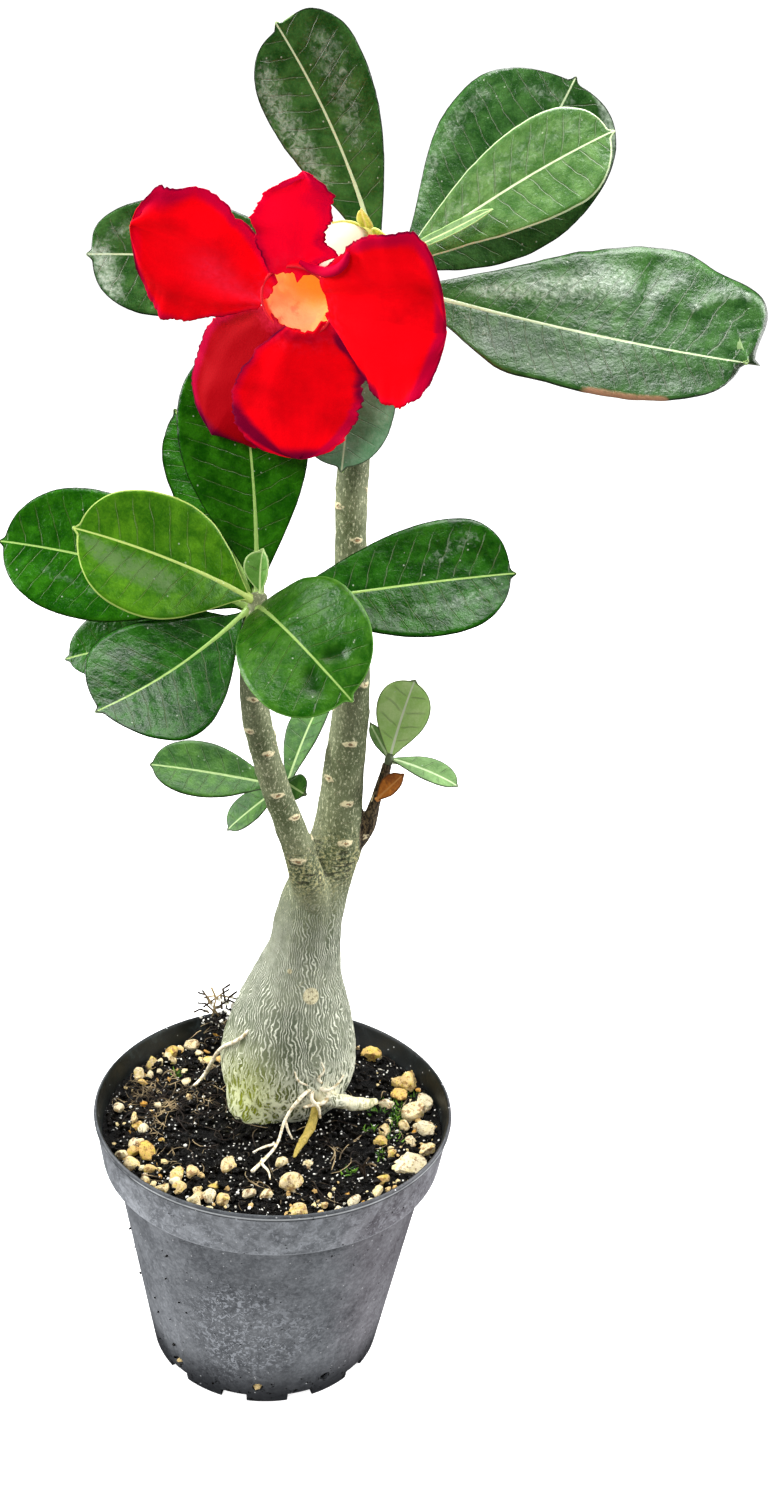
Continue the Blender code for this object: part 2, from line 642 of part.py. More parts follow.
def make_small_leaf(blade, collection):
    """One small leaf of a shoot."""
    return blade_solid(blade, SMALL_ROWS, SMALL_COLUMNS, LEAF_THICKNESS, collection)


def make_side_shoot(collection, material):
    """The short shoot behind the branch, with its four leaves."""
    stub = tube("side_shoot", ((-1.2, 2.6, 186.2, 1.2), (-1.3, 5.2, 186.4, 1.6)), STEM_ROUNDNESS, collection)
    heart = ball("shoot_heart", Vector((-1.4, 5.6, 186.6)), 2.0, 2, collection)
    leaves = [make_small_leaf(blade, collection) for blade in shoot_leaves()]
    return finish(join_solids(stub, [heart] + leaves), material)


def make_twig_leaves(collection, material):
    """The bud at the end of the twig, with its three leaves."""
    stops = ((28.0, 16.0, 191.4, 1.2), (28.3, 16.0, 192.8, 1.3), (28.6, 16.0, 194.2, 0.9))
    bud = tube("twig_leaves", stops, STEM_ROUNDNESS, collection)
    leaves = [make_small_leaf(blade, collection) for blade in twig_leaves()]
    return finish(join_solids(bud, leaves), material)


def make_young_leaves(collection, material):
    """The curled leaf in the side cluster's heart, and the narrow one in the top cluster's."""
    curled = small_leaf("young_leaf_side", (-7.6, -14.2, 249.9), -155, 86, -139, 10.5, 4, 3, arch=10,
                        sweep=7, cup=0.5, widest=(0.61, 0.60))
    narrow = small_leaf("young_leaf_top", (21.2, 6.4, 332.4), -21, 25, 35, 28, 2.5, 3, arch=-6, sweep=-2,
                        cup=0.2, widest=(0.60, 0.59))
    for blade in (curled, narrow):
        finish(make_small_leaf(blade, collection), material)


def make_dried_leaf(collection, material):
    """The dried, curled leaf that clings to the twig."""
    blade = small_leaf("dried_leaf", (25.7, 13.5, 181.0), -18, 51, 72, 11, 3, 2.5, cup=0.35,
                       widest=(0.55, 0.55))
    return finish(make_small_leaf(blade, collection), material)


def make_corolla(collection, material):
    """The corolla: the funnel as an open shell, with the five lobes grown on its rim.

    The lobes' feet cross each other and the shell at shallow angles, which the exact solver leaves in
    two bodies.
    """
    funnel = tube("corolla", FUNNEL, STEM_ROUNDNESS, collection, capped=False)
    shell = funnel.modifiers.new("wall", "SOLIDIFY")
    shell.thickness = FUNNEL_WALL * MM
    shell.offset = -1.0
    funnel = settle(funnel)
    petals = [blade_solid(blade, LOBE_ROWS, LOBE_COLUMNS, LOBE_THICKNESS, collection) for blade in lobes()]
    return finish(join_solids(funnel, petals, solver="MANIFOLD"), material)


def aimed(along, up):
    """Heading, rise and roll, in degrees, of a blade that runs along one direction and faces another."""
    heading = math.degrees(math.atan2(along.y, along.x))
    rise = math.degrees(math.asin(along.z))
    unrolled = Blade("aim", Vector(), heading, rise, 0.0, 1.0, 1.0, 1.0)
    level_across, level_up = blade_axes(unrolled)[1:]
    roll = math.degrees(math.atan2(up.dot(level_across), up.dot(level_up)))
    return heading, rise, roll


def make_calyx(collection, material):
    """The flower's short stalk and the calyx with its five pointed sepals."""
    axis = (THROAT - CALYX_CENTRE).normalized()
    level = axis.cross(Vector((0, 0, 1))).normalized()
    upright = level.cross(axis)
    splay = math.radians(SEPAL_SPLAY)
    stalk = tube("calyx", STALK, STEM_ROUNDNESS, collection)
    pieces = [ball("receptacle", CALYX_CENTRE, CALYX_RADIUS, 2, collection)]
    for number in range(SEPAL_COUNT):
        turn = math.radians(SEPAL_PHASE + 360.0 / SEPAL_COUNT * number)
        outward = level * math.cos(turn) + upright * math.sin(turn)
        along = axis * math.cos(splay) + outward * math.sin(splay)
        facing = axis * math.sin(splay) - outward * math.cos(splay)
        foot = CALYX_CENTRE + outward * 1.4 + axis * 0.6
        blade = Blade(f"sepal_{number}", foot, *aimed(along, facing), SEPAL_LENGTH, SEPAL_HALF_WIDTH,
                      SEPAL_HALF_WIDTH, widest=(0.4, 0.4), blunt=1.3, cup=0.1)
        pieces.append(blade_solid(blade, SEPAL_ROWS, SEPAL_COLUMNS, LEAF_THICKNESS, collection))
    return finish(join_solids(stalk, pieces), material)


def main():
    """Model the whole plant in its pot."""
    clear_scene()
    plant = new_collection("potted_desert_rose")
    cutters = new_collection("cutters")
    leaf_green = new_material("leaf", LEAF_GREEN, 0.35)
    young_green = new_material("young_leaf", YOUNG_GREEN, 0.45)
    make_pot(plant, cutters, new_material("pot", POT_GREY, 0.5))
    make_soil(plant, cutters, new_material("soil", SOIL_BLACK, 0.95))
    make_caudex(plant, new_material("bark", BARK_GREY, 0.75))
    for blade in top_leaves() + side_leaves():
        make_leaf(blade, plant, leaf_green)
    make_side_shoot(plant, leaf_green)
    make_twig_leaves(plant, leaf_green)
    make_young_leaves(plant, young_green)
    make_dried_leaf(plant, new_material("dried_leaf", DRIED_BROWN, 0.85))
    make_corolla(plant, new_material("petal", PETAL_RED, 0.55))
    make_calyx(plant, young_green)


main()
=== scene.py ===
"""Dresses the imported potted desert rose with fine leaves, bark, petals, soil and a worn pot.

Sizes are in millimetres, as in the part's own design, and MM turns them into metres.
"""

import math
import random
from itertools import repeat
from typing import NamedTuple

import bmesh
import bpy
from mathutils import Matrix, Vector, kdtree, noise


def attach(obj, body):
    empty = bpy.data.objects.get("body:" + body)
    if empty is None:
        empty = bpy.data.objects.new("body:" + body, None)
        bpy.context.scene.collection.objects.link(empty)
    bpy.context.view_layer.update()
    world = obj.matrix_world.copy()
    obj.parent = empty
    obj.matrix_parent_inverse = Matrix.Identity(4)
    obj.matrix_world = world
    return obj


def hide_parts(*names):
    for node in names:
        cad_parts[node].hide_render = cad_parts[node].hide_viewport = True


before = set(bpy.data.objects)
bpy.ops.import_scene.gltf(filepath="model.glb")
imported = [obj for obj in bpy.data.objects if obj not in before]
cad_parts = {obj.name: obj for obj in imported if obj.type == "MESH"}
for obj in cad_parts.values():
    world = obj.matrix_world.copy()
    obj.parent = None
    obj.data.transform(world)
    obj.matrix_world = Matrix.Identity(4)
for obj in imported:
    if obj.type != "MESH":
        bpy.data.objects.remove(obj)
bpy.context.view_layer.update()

MM = 0.001
# Points closer than this, in metres, become one.
WELD = 0.00001

# The pot, as in the part's own design.
RIM_RADIUS = 54.0
POT_HEIGHT = 84.0
BAND_FOOT_HEIGHT = 68.5
BAND_FOOT_RADIUS = 51.5
BODY_TOP_RADIUS = 48.0
BODY_TOP_HEIGHT = 67.6
FOOT_RADIUS = 35.7
WALL = 1.3
FLOOR = 2.0
POT_SIDES = 128
NOTCH_COUNT = 11
NOTCH_PHASE = -68.0
NOTCH_SIZE = (7.0, 8.0, 6.4)
HOLE_RADIUS = 1.7
HOLE_HEIGHT = 7.0
HOLE_ANGLES = (-89.0, -56.0, -131.0)

# The soil, and how far from the pot's axis what lies on it may reach.
SOIL_TOP = 77.0
SOIL_REACH = 50.0
SOIL_RINGS = 70
SOIL_SIDES = 260
# The heap at the back left: its lumps, and the white crumbs above it, are x, y, z and size.
HEAP = (
    (-17, 40, 77, 14), (-22, 40, 80, 8), (-17.6, 43, 81.6, 6.5), (-22.4, 42.6, 84, 4.6),
    (-19, 44, 86.4, 3.4), (-25.4, 41, 84.6, 3),
)
HEAP_GRIT = (
    (-26.4, 43.4, 87.4, 2.4), (-24.2, 44.2, 89.6, 2.6), (-21.8, 44.6, 91.2, 2.2),
    (-22.6, 45, 88, 3.2), (-19.8, 45, 90.4, 2.8), (-18, 45.2, 92, 2.2), (-17.4, 45.4, 88.6, 3.4),
    (-27.6, 41.8, 85.8, 1.6), (-20.8, 44.6, 86.6, 2.6), (-15.8, 45.6, 90.6, 2),
)
# Dry twigs in the heap, and a sprig that stands by the rim at the right front: stops of x, y and z.
HEAP_TWIGS = (
    ((-22, 43, 86), (-25, 44, 91), (-27.6, 44.4, 94.4)),
    ((-23, 43, 87), (-26.4, 43.6, 90), (-29, 43, 90.4)),
    ((-20, 44, 87), (-19, 45, 92), (-16.4, 45, 94.4)),
    ((-18, 44, 87), (-16, 45, 90.6), (-14, 45, 91.4)),
    ((-24, 43, 86), (-23, 44, 92), (-24.6, 44, 96)),
    ((-21, 44, 88), (-21.6, 45, 93), (-19, 45, 95)),
    ((-27, 43, 89), (-22, 45, 92.6), (-16, 45, 91.6)),
    ((-24, 43, 88), (-19, 45, 91), (-15, 45.4, 89)),
    ((-25, 43, 87), (-28, 42.6, 88.4), (-30, 42, 87.4)),
    ((-25, 43.4, 90), (-26.4, 44, 93), (-29, 43.6, 94)),
    ((-22, 44.4, 91), (-24, 44.8, 92.4), (-27, 44.4, 91.6)),
    ((-20, 45, 90), (-21, 45, 95), (-18.6, 45, 97)),
)
SPRIG = (
    ((28.8, -23.5, 76.5), (28.2, -23.7, 80.5), (29.6, -24, 83.5)),
    ((28.4, -23.6, 79.4), (25.8, -24, 82), (24.6, -24, 81.6)),
    ((28.3, -23.7, 80.6), (30.6, -24, 81.6), (31.8, -24, 80.8)),
    ((28.8, -23.5, 76.5), (27.4, -23, 79), (26.8, -23, 80)),
)
# How many crumbs, and fibres, of each kind are strewn.
SOIL_LUMPS = 2600
HEAP_LUMPS = 300
WALL_LUMPS = 26
SOIL_GRIT = 900
LOOSE_HEAP_GRIT = 34
PUMICE_TRIES = 330
FIBRES = 330
LEFT_FIBRES = 150
HEAP_FIBRES = 50
CRUMB_FLAT = 0.75
# Two pumice crumbs that stick to the pot's foot: x, y, z and size.
FOOT_PUMICE = ((0.6, -35.6, 7.0, 4.2), (-23.6, -27.0, 6.8, 3.0))
# Tufts of moss: place across the pot and spread.
MOSS_TUFTS = (
    (36, 13, 3), (40, 20, 2.6), (38, 3, 2.2), (36, -4, 2.4), (31, 9, 2), (30, -2, 1.8),
    (37, 8, 2.4), (34, -14, 1.6), (-32, 22, 1.6), (24, -22, 2), (44, 17, 2),
)
TUFT_LEAVES = 26
# A stone is a ball with so many cuts, and its middle stands a share of its size above the soil.
STONE_LIFT = 0.12
STONE_REACH = 50.2
STONE_CUTS = 9
# Small stones are strewn round these turns, each with a spread, in degrees.
SMALL_STONES = 38
SMALL_STONE_TURNS = ((205, 16), (240, 20), (350, 30), (150, 20))
# The large stones: place across the pot and size.
STONES = (
    (-37, 34, 3.5), (-43, 27, 3.8), (-46, 21, 3.4), (-41, 19, 2.6), (-31, 39, 3.5), (-27, 33, 2.4),
    (-35, 28, 2.4), (-29, 17, 2.4), (-27, 9, 2.2), (-40, -16, 3.1), (-36, -20, 4.5),
    (-44, -23, 3.4), (-39, -26, 3.8), (-34, -33, 2.4), (-25, -30, 4.1), (-21, -28, 3.4),
    (-29, -37, 3.7), (-24, -36, 3.6), (-19, -42, 4), (-15, -38, 3.8), (-11, -40, 3.7),
    (-11, -24, 4.3), (-4, -36, 3.4), (1, -36, 3.4), (8, -31, 5.8), (4, -21, 2.8), (12, -21, 2.9),
    (11, -44, 5), (18, -39, 2), (22, -41, 2.3), (26, -37, 3.7), (33, -32, 3.4), (34, -26, 3.1),
    (42, -18, 7), (47, -10, 4.2), (42, -7, 3.2), (33, -8, 3.5), (34, -2, 3.6), (46, 0, 4.7),
    (43, 7, 6.2), (49, 14, 5.2), (45, 26, 6), (38, 17, 4.1), (34, 12, 3.2), (38, 23, 4.1),
    (29, 39, 5.4), (34, 43, 3.1),
)

# Where the caudex and its buttress stand in the soil, and how far from them the crumbs keep.
CAUDEX_MIDDLE = (3.0, 17.0)
CAUDEX_CLEAR = 18.0
BUTTRESS_MIDDLE = (-4.0, 8.0)
BUTTRESS_CLEAR = 11.0

# Stems and roots: each stop is x, y, z and radius.
TRUNK = (
    (3.5, 17.5, 58, 11), (3.5, 17.5, 68, 13), (3.3, 17.3, 76, 16.2), (3, 17, 83, 20),
    (2.8, 17, 90, 21), (3.2, 17, 99, 19.8), (4, 17, 110, 17), (4.9, 17, 119, 13.7),
    (6.3, 17, 128, 11.2), (7.2, 17, 138, 10.2), (8.7, 17, 146, 9.6), (11.5, 17, 155, 8.4),
    (14, 17, 164, 8), (14.7, 16.8, 171, 7.1), (15, 16.3, 181, 6.2), (15.9, 15.6, 196, 5.6),
    (16.6, 15, 209, 5.2), (16.3, 14.4, 220, 4.8), (15.2, 13.3, 238, 4.4), (14.3, 12, 255, 4.3),
    (13.8, 11, 277, 4.2), (14.8, 10.5, 290, 3.9), (16.3, 10, 302, 3.7), (18.3, 9, 316, 3.4),
    (19.3, 8.3, 324, 3), (19.5, 8, 329, 2.9), (19.5, 8, 331.6, 2.4),
)
BUTTRESS = (
    (0, 14, 97, 13.5), (-3, 11.5, 88, 12.3), (-4.6, 8.6, 80, 10.8), (-5, 7.6, 73, 9.4),
    (-5, 7.6, 66, 8),
)
BRANCH = (
    (9.2, 14, 146, 6), (7.6, 9.5, 153, 5.4), (6.2, 6.3, 159, 5), (4.1, 3, 168, 4.5),
    (0, -0.8, 181, 4.2), (-2.6, -3.8, 190, 4), (-6.6, -8, 206, 3.9), (-8.3, -10.4, 215, 3.8),
    (-9, -12.8, 226, 3.6), (-8.6, -14, 236.5, 3.3), (-8.2, -14.3, 245, 2.9),
    (-8.2, -14.3, 249.3, 2.4),
)
TWIG = (
    (17, 16.5, 161, 3), (22.4, 16.3, 169, 2.4), (24.8, 16.1, 178, 1.8), (26.8, 16, 186, 1.5),
    (27.9, 16, 191, 1.4),
)
RIGHT_ROOT = (
    (12, 3, 90, 2.2), (14.5, -0.6, 88, 2.3), (21.5, 1.6, 84.4, 2.3), (27, 5, 81.8, 2),
    (31, 8.5, 80.6, 1.1),
)
FRONT_ROOT = (
    (12.6, 1.5, 88, 1.5), (12.9, -3, 85, 1.5), (11.6, -7.4, 80.6, 1.4), (9, -14, 79, 1.2),
    (7.6, -19.4, 78.4, 0.7),
)
THREAD_ROOT = (
    (12.4, 0.8, 90.6, 0.6), (8.4, -5, 89.8, 0.55), (4.2, -8, 84, 0.45), (2.2, -13.5, 78.8, 0.42),
    (-0.4, -20, 78.4, 0.5), (-3.9, -27, 78.4, 0.6),
)
SIDE_THREAD_ROOT = (
    (-7, 5, 108, 0.6), (-10.6, 3.6, 104, 0.6), (-17.4, 8.8, 96, 0.6), (-21.4, 14, 86, 0.6),
    (-24, 18.4, 78.7, 0.6), (-26, 14, 78.4, 0.5),
)
ROOT_HAIRS = (
    ((12.4, 1, 90.6, 0.7), (15.4, -1.6, 90.4, 0.6), (18.4, -0.6, 91.6, 0.4), (20.6, 1.8, 94, 0.25)),
    ((12, 0, 90.2, 0.7), (11.4, -3.6, 88.6, 0.6), (13.6, -5, 86.4, 0.5), (14.4, -5.4, 83, 0.35)),
    ((14, 0, 92, 0.6), (13.2, -1.4, 94.4, 0.45), (14.6, -1.2, 97, 0.3), (13.8, -0.6, 99.6, 0.2)),
    ((12.2, 0.6, 91.2, 0.7), (9.6, -2.4, 92.6, 0.5), (7, -3.2, 94.6, 0.35), (6, -3.2, 97.4, 0.2)),
    ((16.2, -1, 89, 0.9), (15.4, -3.2, 87.4, 0.7), (12.2, -4.4, 87, 0.6), (9.2, -5.6, 86.6, 0.4)),
    ((4, -8, 83.4, 0.45), (5.2, -9.6, 80.6, 0.4), (6.6, -10.4, 78.4, 0.3)),
    (
        (-0.4, -20, 78.3, 0.5), (-1.6, -22.4, 78.6, 0.45), (0.8, -26.6, 78.4, 0.35),
        (1.6, -30, 78.3, 0.2),
    ),
    ((1.8, -13.5, 78.6, 0.4), (-1.6, -15.6, 78.7, 0.35), (-4.6, -18, 78.4, 0.25)),
)
SHOOT_STUB = ((-1.2, 2.6, 186.2, 1.2), (-1.3, 5.2, 186.4, 1.6), (-1.5, 6.6, 186.7, 1.2))
TWIG_BUD = ((28.0, 16.0, 191.0, 1.2), (28.3, 16.0, 192.8, 1.3), (28.6, 16.0, 194.2, 0.7))
# The size of the bark's mesh, and how many wrinkles go round the caudex.
BARK_GRAIN = 0.5
BARK_WRINKLES = 108

# Old leaf bases show as cream half-moons on the stems: x, y, z and half-width.
LEAF_SCARS = (
    (10.6, 8.7, 267.6, 1.9), (15.9, 7.9, 258.8, 1.7), (19.9, 11.1, 216.5, 1.8),
    (16.9, 10.1, 198.8, 2), (11.4, 11.7, 187.2, 2), (17.2, 10.5, 180, 2.1), (17, 9.9, 167.8, 2.2),
    (-8.4, -15.3, 220.5, 1.7), (-9.4, -12.5, 210.2, 1.8), (-4.6, -10.8, 203.1, 1.9),
    (-2, -7.6, 189.7, 1.9), (3, -3.4, 181.4, 2), (4.2, -1.2, 166.7, 2.2),
)
ROUND_SCARS = ((9.5, 4.5, 119.2, 2.6), (2.8, 6.0, 126.4, 0.8))

# The tips of the two stems, and how far from them a leaf's foot stands.
TOP_TIP = Vector((19.5, 8.0, 0.0))
SIDE_TIP = Vector((-8.2, -14.3, 0.0))
TIP_REACH = 3.5
SMALL_FOOT = 0.7
# How steeply a blade rises from its midrib to its margin.
SECTION_CURVE = 1.4

# The flower: its throat's middle, the way it faces, its funnel up to the mouth, and its calyx.
THROAT = Vector((-0.1, -26.0, 324.5))
FACE = Vector((-0.33, -0.92, -0.22)).normalized()
THROAT_RADIUS = 8.0
LOBE_FOOT = 5.2
LOBE_WAVE = 0.7
LOBE_WAVES = 2.5
FUNNEL = (
    (13.3, 1.2, 337.6, 2), (9.8, -4, 336.4, 4.8), (5.4, -11, 332.6, 7.1), (2, -18.2, 328.4, 8.2),
    (0.5, -23.2, 325.6, 8.8), (-0.2, -26, 324.6, 9),
)
FUNNEL_WALL = 0.6
ROLLED_EDGE = (
    (0.4, -28.9, 333.9, 0.5), (2.6, -29.8, 333, 0.9), (5.1, -32.7, 332.7, 1.1),
    (7.9, -39, 333.4, 1.2), (10, -42.6, 334.7, 1.1), (11.5, -45.6, 336.7, 0.9),
    (12.1, -47.6, 338.6, 0.5),
)
CALYX_CENTRE = Vector((14.8, 3.4, 338.0))
STALK = ((19.4, 7.3, 332.6, 1.1), (18.2, 5.8, 335.4, 1.1), (15.6, 4.1, 337.4, 1.3))
SEPAL_COUNT = 5
SEPAL_SPLAY = 64.0
SEPAL_PHASE = 100.0
SEPAL_LENGTH = 7.2
SEPAL_HALF = 2.2

# The camera: degrees it looks down and leans, its lens and film, and its place in metres.
CAMERA_TIP = 22.85
CAMERA_LEAN = 3.6
CAMERA_LENS = 40.0
CAMERA_FILM = 36.0
CAMERA_PLACE = (0.027, -0.4238, 0.3805)

# The studio: a sweep of radius and height, the air's glow, and lights of place, size and power.
SWEEP = ((3000.0, -0.1), (3400.0, 60.0), (3650.0, 250.0), (3800.0, 600.0), (3850.0, 4000.0))
AIR_LIGHT = 0.48
LIGHT_AIM = Vector((0.0, 0.0, 0.2))
LIGHTS = {
    "top_light": ((0.05, 0.25, 1.15), 0.7, 21.0),
    "left_light": ((-1.0, 0.1, 0.6), 0.6, 16.0),
    "right_light": ((1.0, 0.15, 0.5), 0.6, 15.0),
    "front_light": ((-0.35, -1.1, 0.9), 0.35, 10.0),
}


class Blade(NamedTuple):
    """A leaf or a petal, in millimetres and degrees, from its foot to its tip."""

    name: str
    foot: Vector
    heading: float
    rise: float
    roll: float
    length: float
    left: float
    right: float
    arch: float = 0.0
    sweep: float = 0.0
    cup: float = 0.12
    widest: tuple = (0.64, 0.64)
    overrun: tuple = (0.0, 0.0)
    blunt: float = 2.3
    foot_half: float = 1.0
    taper: float = 1.25
    corners: tuple = ()
    wave: float = 0.0


class Relief(NamedTuple):
    """How a blade's surface is worked, in millimetres."""

    rows: int
    columns: int
    groove: float
    quilt: float
    vein_step: float
    vein_lean: float
    ripple: float
    ruffle: float
    ragged: float
    point: float
    thickness: float
    thin_edge: float


LEAF_RELIEF = Relief(72, 32, 0.30, 0.26, 4.6, 0.45, 0.6, 0.3, 0.06, 1.5, 0.7, 0.4)
SMALL_RELIEF = Relief(40, 20, 0.18, 0.09, 2.6, 0.45, 0.3, 0.15, 0.0, 0.8, 0.6, 0.4)
PETAL_RELIEF = Relief(84, 60, 0.0, 0.0, 3.0, 0.2, 0.8, 0.9, 0.7, 0.0, 0.6, 0.25)


class Dent(NamedTuple):
    """A crease, painted sheen, pink, painted shade, a dark margin or a stain between two places of
    a blade, each a share across and along.
    """

    start: tuple
    end: tuple
    half: float
    lift: float = 0.0
    back: float = 0.0
    # pale is a painted sheen on the leaves and pink on the petals.
    pale: float = 0.0
    # dark is a darker green on the leaves, painted shade in the front side leaf's dimples; on the
    # petals it is their dark margins and painted shadow.
    dark: float = 0.0
    stained: float = 0.0


# On the leaves, the pale dents are painted sheen.
DENTS = {
    "leaf_top_right": (
        Dent((-0.44, 0.84), (-1, 0.97), 1.6, lift=0.9, pale=0.5),
        Dent((-0.5, 0.985), (-0.3, 1), 3.2, back=3.4),
        Dent((-1, 0.93), (-1, 0.978), 2.6, back=-4.4), Dent((0.1, 1), (0.8, 1), 4, back=2.2),
        Dent((0.98, 0.58), (1, 0.78), 1.5, stained=1),
        Dent((-0.45, 0.25), (-0.6, 0.6), 10, pale=0.52), Dent((0.5, 0.5), (0.4, 0.6), 3, pale=0.3),
        Dent((0.6, 0.3), (0.6, 0.95), 6, dark=0.5), Dent((-0.7, 0.8), (-0.5, 0.7), 5, pale=0.42),
        Dent((0.3, 0.2), (0.6, 0.3), 4, pale=0.4), Dent((-0.4, 0.7), (-0.9, 0.72), 2, lift=-0.8),
    ),
    "leaf_top_upright": (
        Dent((-0.76, 0.86), (-0.7, 0.4), 7, pale=0.46), Dent((0.5, 0.85), (0.4, 0.5), 8, pale=0.4),
    ),
    "leaf_top_back_right": (
        Dent((0.9, 0.8), (0.9, 0.98), 5, pale=0.6), Dent((-0.9, 0.2), (-0.8, 0.8), 5, pale=0.4),
        Dent((-0.5, 0.9), (0.1, 0.94), 3.4, pale=0.4), Dent((0.4, 0.3), (0.7, 0.6), 3.4, dark=0.5),
    ),
    "leaf_top_front_right": (Dent((-0.4, 0.2), (-0.5, 0.9), 9, pale=0.36),),
    "leaf_top_left": (
        Dent((-0.8, 0.93), (0.2, 0.97), 6, pale=0.55), Dent((0.5, 0.7), (0.5, 0.9), 5, pale=0.4),
    ),
    # Two sunk dimples with painted shade in them.
    "leaf_side_front": (
        Dent((-0.36, 0.81), (-0.22, 0.78), 2, lift=-1, dark=1.1),
        Dent((0.34, 0.86), (0.2, 0.8), 2, lift=-1, dark=1.1),
        Dent((0.5, 0.9), (0.6, 0.7), 5, pale=0.3), Dent((-0.6, 0.9), (-0.5, 0.7), 4, pale=0.28),
        Dent((-0.2, 0.1), (-0.5, 0.2), 3, pale=0.4),
    ),
    "leaf_side_bright": (Dent((-0.3, 0.92), (-0.36, 0.5), 4.4, pale=0.8),),
    "leaf_side_low_front": (
        Dent((0.5, 0.8), (0.55, 0.5), 4, pale=0.22), Dent((-0.3, 0.6), (-0.5, 0.78), 3, pale=0.2),
        Dent((0.2, 0.3), (0.5, 0.35), 2.4, pale=0.3),
    ),
    "leaf_side_right": (
        Dent((-0.7, 0.86), (-0.36, 0.7), 5, pale=0.36), Dent((0.4, 0.9), (0.5, 0.6), 4, pale=0.4),
    ),
    "leaf_side_far_left": (Dent((-0.5, 0.6), (-0.4, 0.8), 4, pale=0.34),),
    "petal_left": (
        Dent((0, 0), (0.4, 0), 2, back=0.3, pale=1), Dent((-0.3, 0), (-0.1, 0.4), 5, pale=0.8),
        Dent((0.6, 1), (0.9, 0.8), 4.5, stained=0.8), Dent((0.5, 1), (0.62, 1), 1.2, back=1.5),
        Dent((0.9, 0.1), (0.98, 0.6), 3, lift=-0.6, stained=0.6),
        Dent((-0.5, 0.15), (-0.6, 0.9), 4, lift=0.6), Dent((0.3, 0.2), (0.4, 0.9), 4, lift=0.5),
        Dent((-0.9, 0.95), (-1, 0.6), 2.4, stained=0.5),
    ),
    "petal_top": (
        Dent((-1, 0), (1, 0), 2.4, back=1), Dent((0.34, 0), (0.35, 0.01), 1.1, back=2.8),
        Dent((0.9, 0.95), (0.4, 0.75), 4, stained=0.7),
        Dent((1, 0.16), (1, 0.24), 3.4, stained=0.8), Dent((-0.9, 0.1), (-0.95, 0.6), 2, dark=0.4),
        Dent((-0.8, 1), (-0.5, 1), 2, back=1.2, stained=0.5),
        Dent((0.2, 0.1), (0.3, 0.8), 3, lift=-0.5),
    ),
    # The dark dent along its + side near the foot is painted shadow.
    "petal_right": (
        Dent((-0.6, 0), (1, 0), 2, back=0.2), Dent((0.7, 0), (1, 0), 2, back=2),
        Dent((1, 0.16), (0.96, 0.42), 3, lift=-1, dark=0.75),
        Dent((-0.3, 0.1), (-0.2, 0.8), 4, lift=-0.4), Dent((0.3, 0.2), (0.4, 0.9), 4, lift=0.5),
        Dent((0.9, 0.85), (0.2, 1), 2.6, stained=1),
        Dent((-0.9, 0.5), (-0.9, 0.9), 2.4, stained=0.5),
        Dent((-0.4, 1), (0.2, 1), 2, stained=0.9),
    ),
    # Its dark dents near the foot and along its + side are painted shadow under the throat and the
    # right lobe; the others are its dark margin.
    "petal_bottom": (
        Dent((-1, 0), (1, 0), 3, back=0.7), Dent((-1, 0), (-0.6, 0), 2.6, back=3),
        Dent((-0.8, 0.04), (0.7, 0.04), 2.6, dark=0.5),
        Dent((-0.9, 0.1), (-1, 0.5), 2.6, dark=0.9), Dent((1, 0.7), (0.5, 1), 3, dark=1),
        Dent((0.5, 1), (-0.5, 1), 3.4, dark=1), Dent((-0.7, 0.95), (-1, 0.6), 1.8, stained=0.9),
        Dent((0.4, 0.05), (0.5, 0.8), 4, lift=0.5), Dent((-0.5, 0.1), (-0.5, 0.8), 4, lift=-0.4),
        Dent((1, 0.05), (1, 0.6), 2.4, dark=0.55),
        Dent((-1, 0.3), (-1, 0.31), 2.5, back=-1, stained=0.5),
    ),
    # The dent that pushes its - side back is painted darker there, as painted shade where it lies
    # behind another lobe; the dark dent across its tip is its dark margin.
    "petal_low_left": (
        Dent((-1, 0), (1, 0), 2.6, back=0.2, pale=0.7),
        Dent((-1, 0.1), (-1, 0.95), 8, lift=-6.5, dark=0.4),
        Dent((-0.6, 1), (0.9, 1), 3.4, dark=0.9), Dent((1, 0.3), (1, 0.9), 2.6, stained=0.8),
        Dent((0.5, 0.2), (0.5, 0.9), 3, lift=0.5), Dent((-0.1, 0.1), (-0.1, 0.6), 2.4, dark=0.5),
    ),
}


class Value:
    """A number that varies over a surface and is written in sums like any other."""

    def __init__(self, finish, socket):
        self.finish = finish
        self.socket = socket

    def __add__(self, other):
        return self.finish.maths("ADD", self, other)

    __radd__ = __add__

    def __mul__(self, other):
        return self.finish.maths("MULTIPLY", self, other)

    __rmul__ = __mul__

    def __sub__(self, other):
        return self.finish.maths("SUBTRACT", self, other)

    def __rsub__(self, other):
        return self.finish.maths("SUBTRACT", other, self)

    def __truediv__(self, other):
        return self.finish.maths("DIVIDE", self, other)

    def __abs__(self):
        return self.finish.maths("ABSOLUTE", self)

    def stripes(self):
        """0 halfway between each two whole numbers, and a half at every whole one."""
        return abs(self.finish.maths("FRACT", self) - 0.5)

    def fade(self, low, high):
        """0 at low and 1 at high, and smooth between them."""
        inputs = {0: self, 1: low, 2: high}
        node = self.finish.node("ShaderNodeMapRange", {"interpolation_type": "SMOOTHSTEP"}, inputs)
        return Value(self.finish, node.outputs[0])


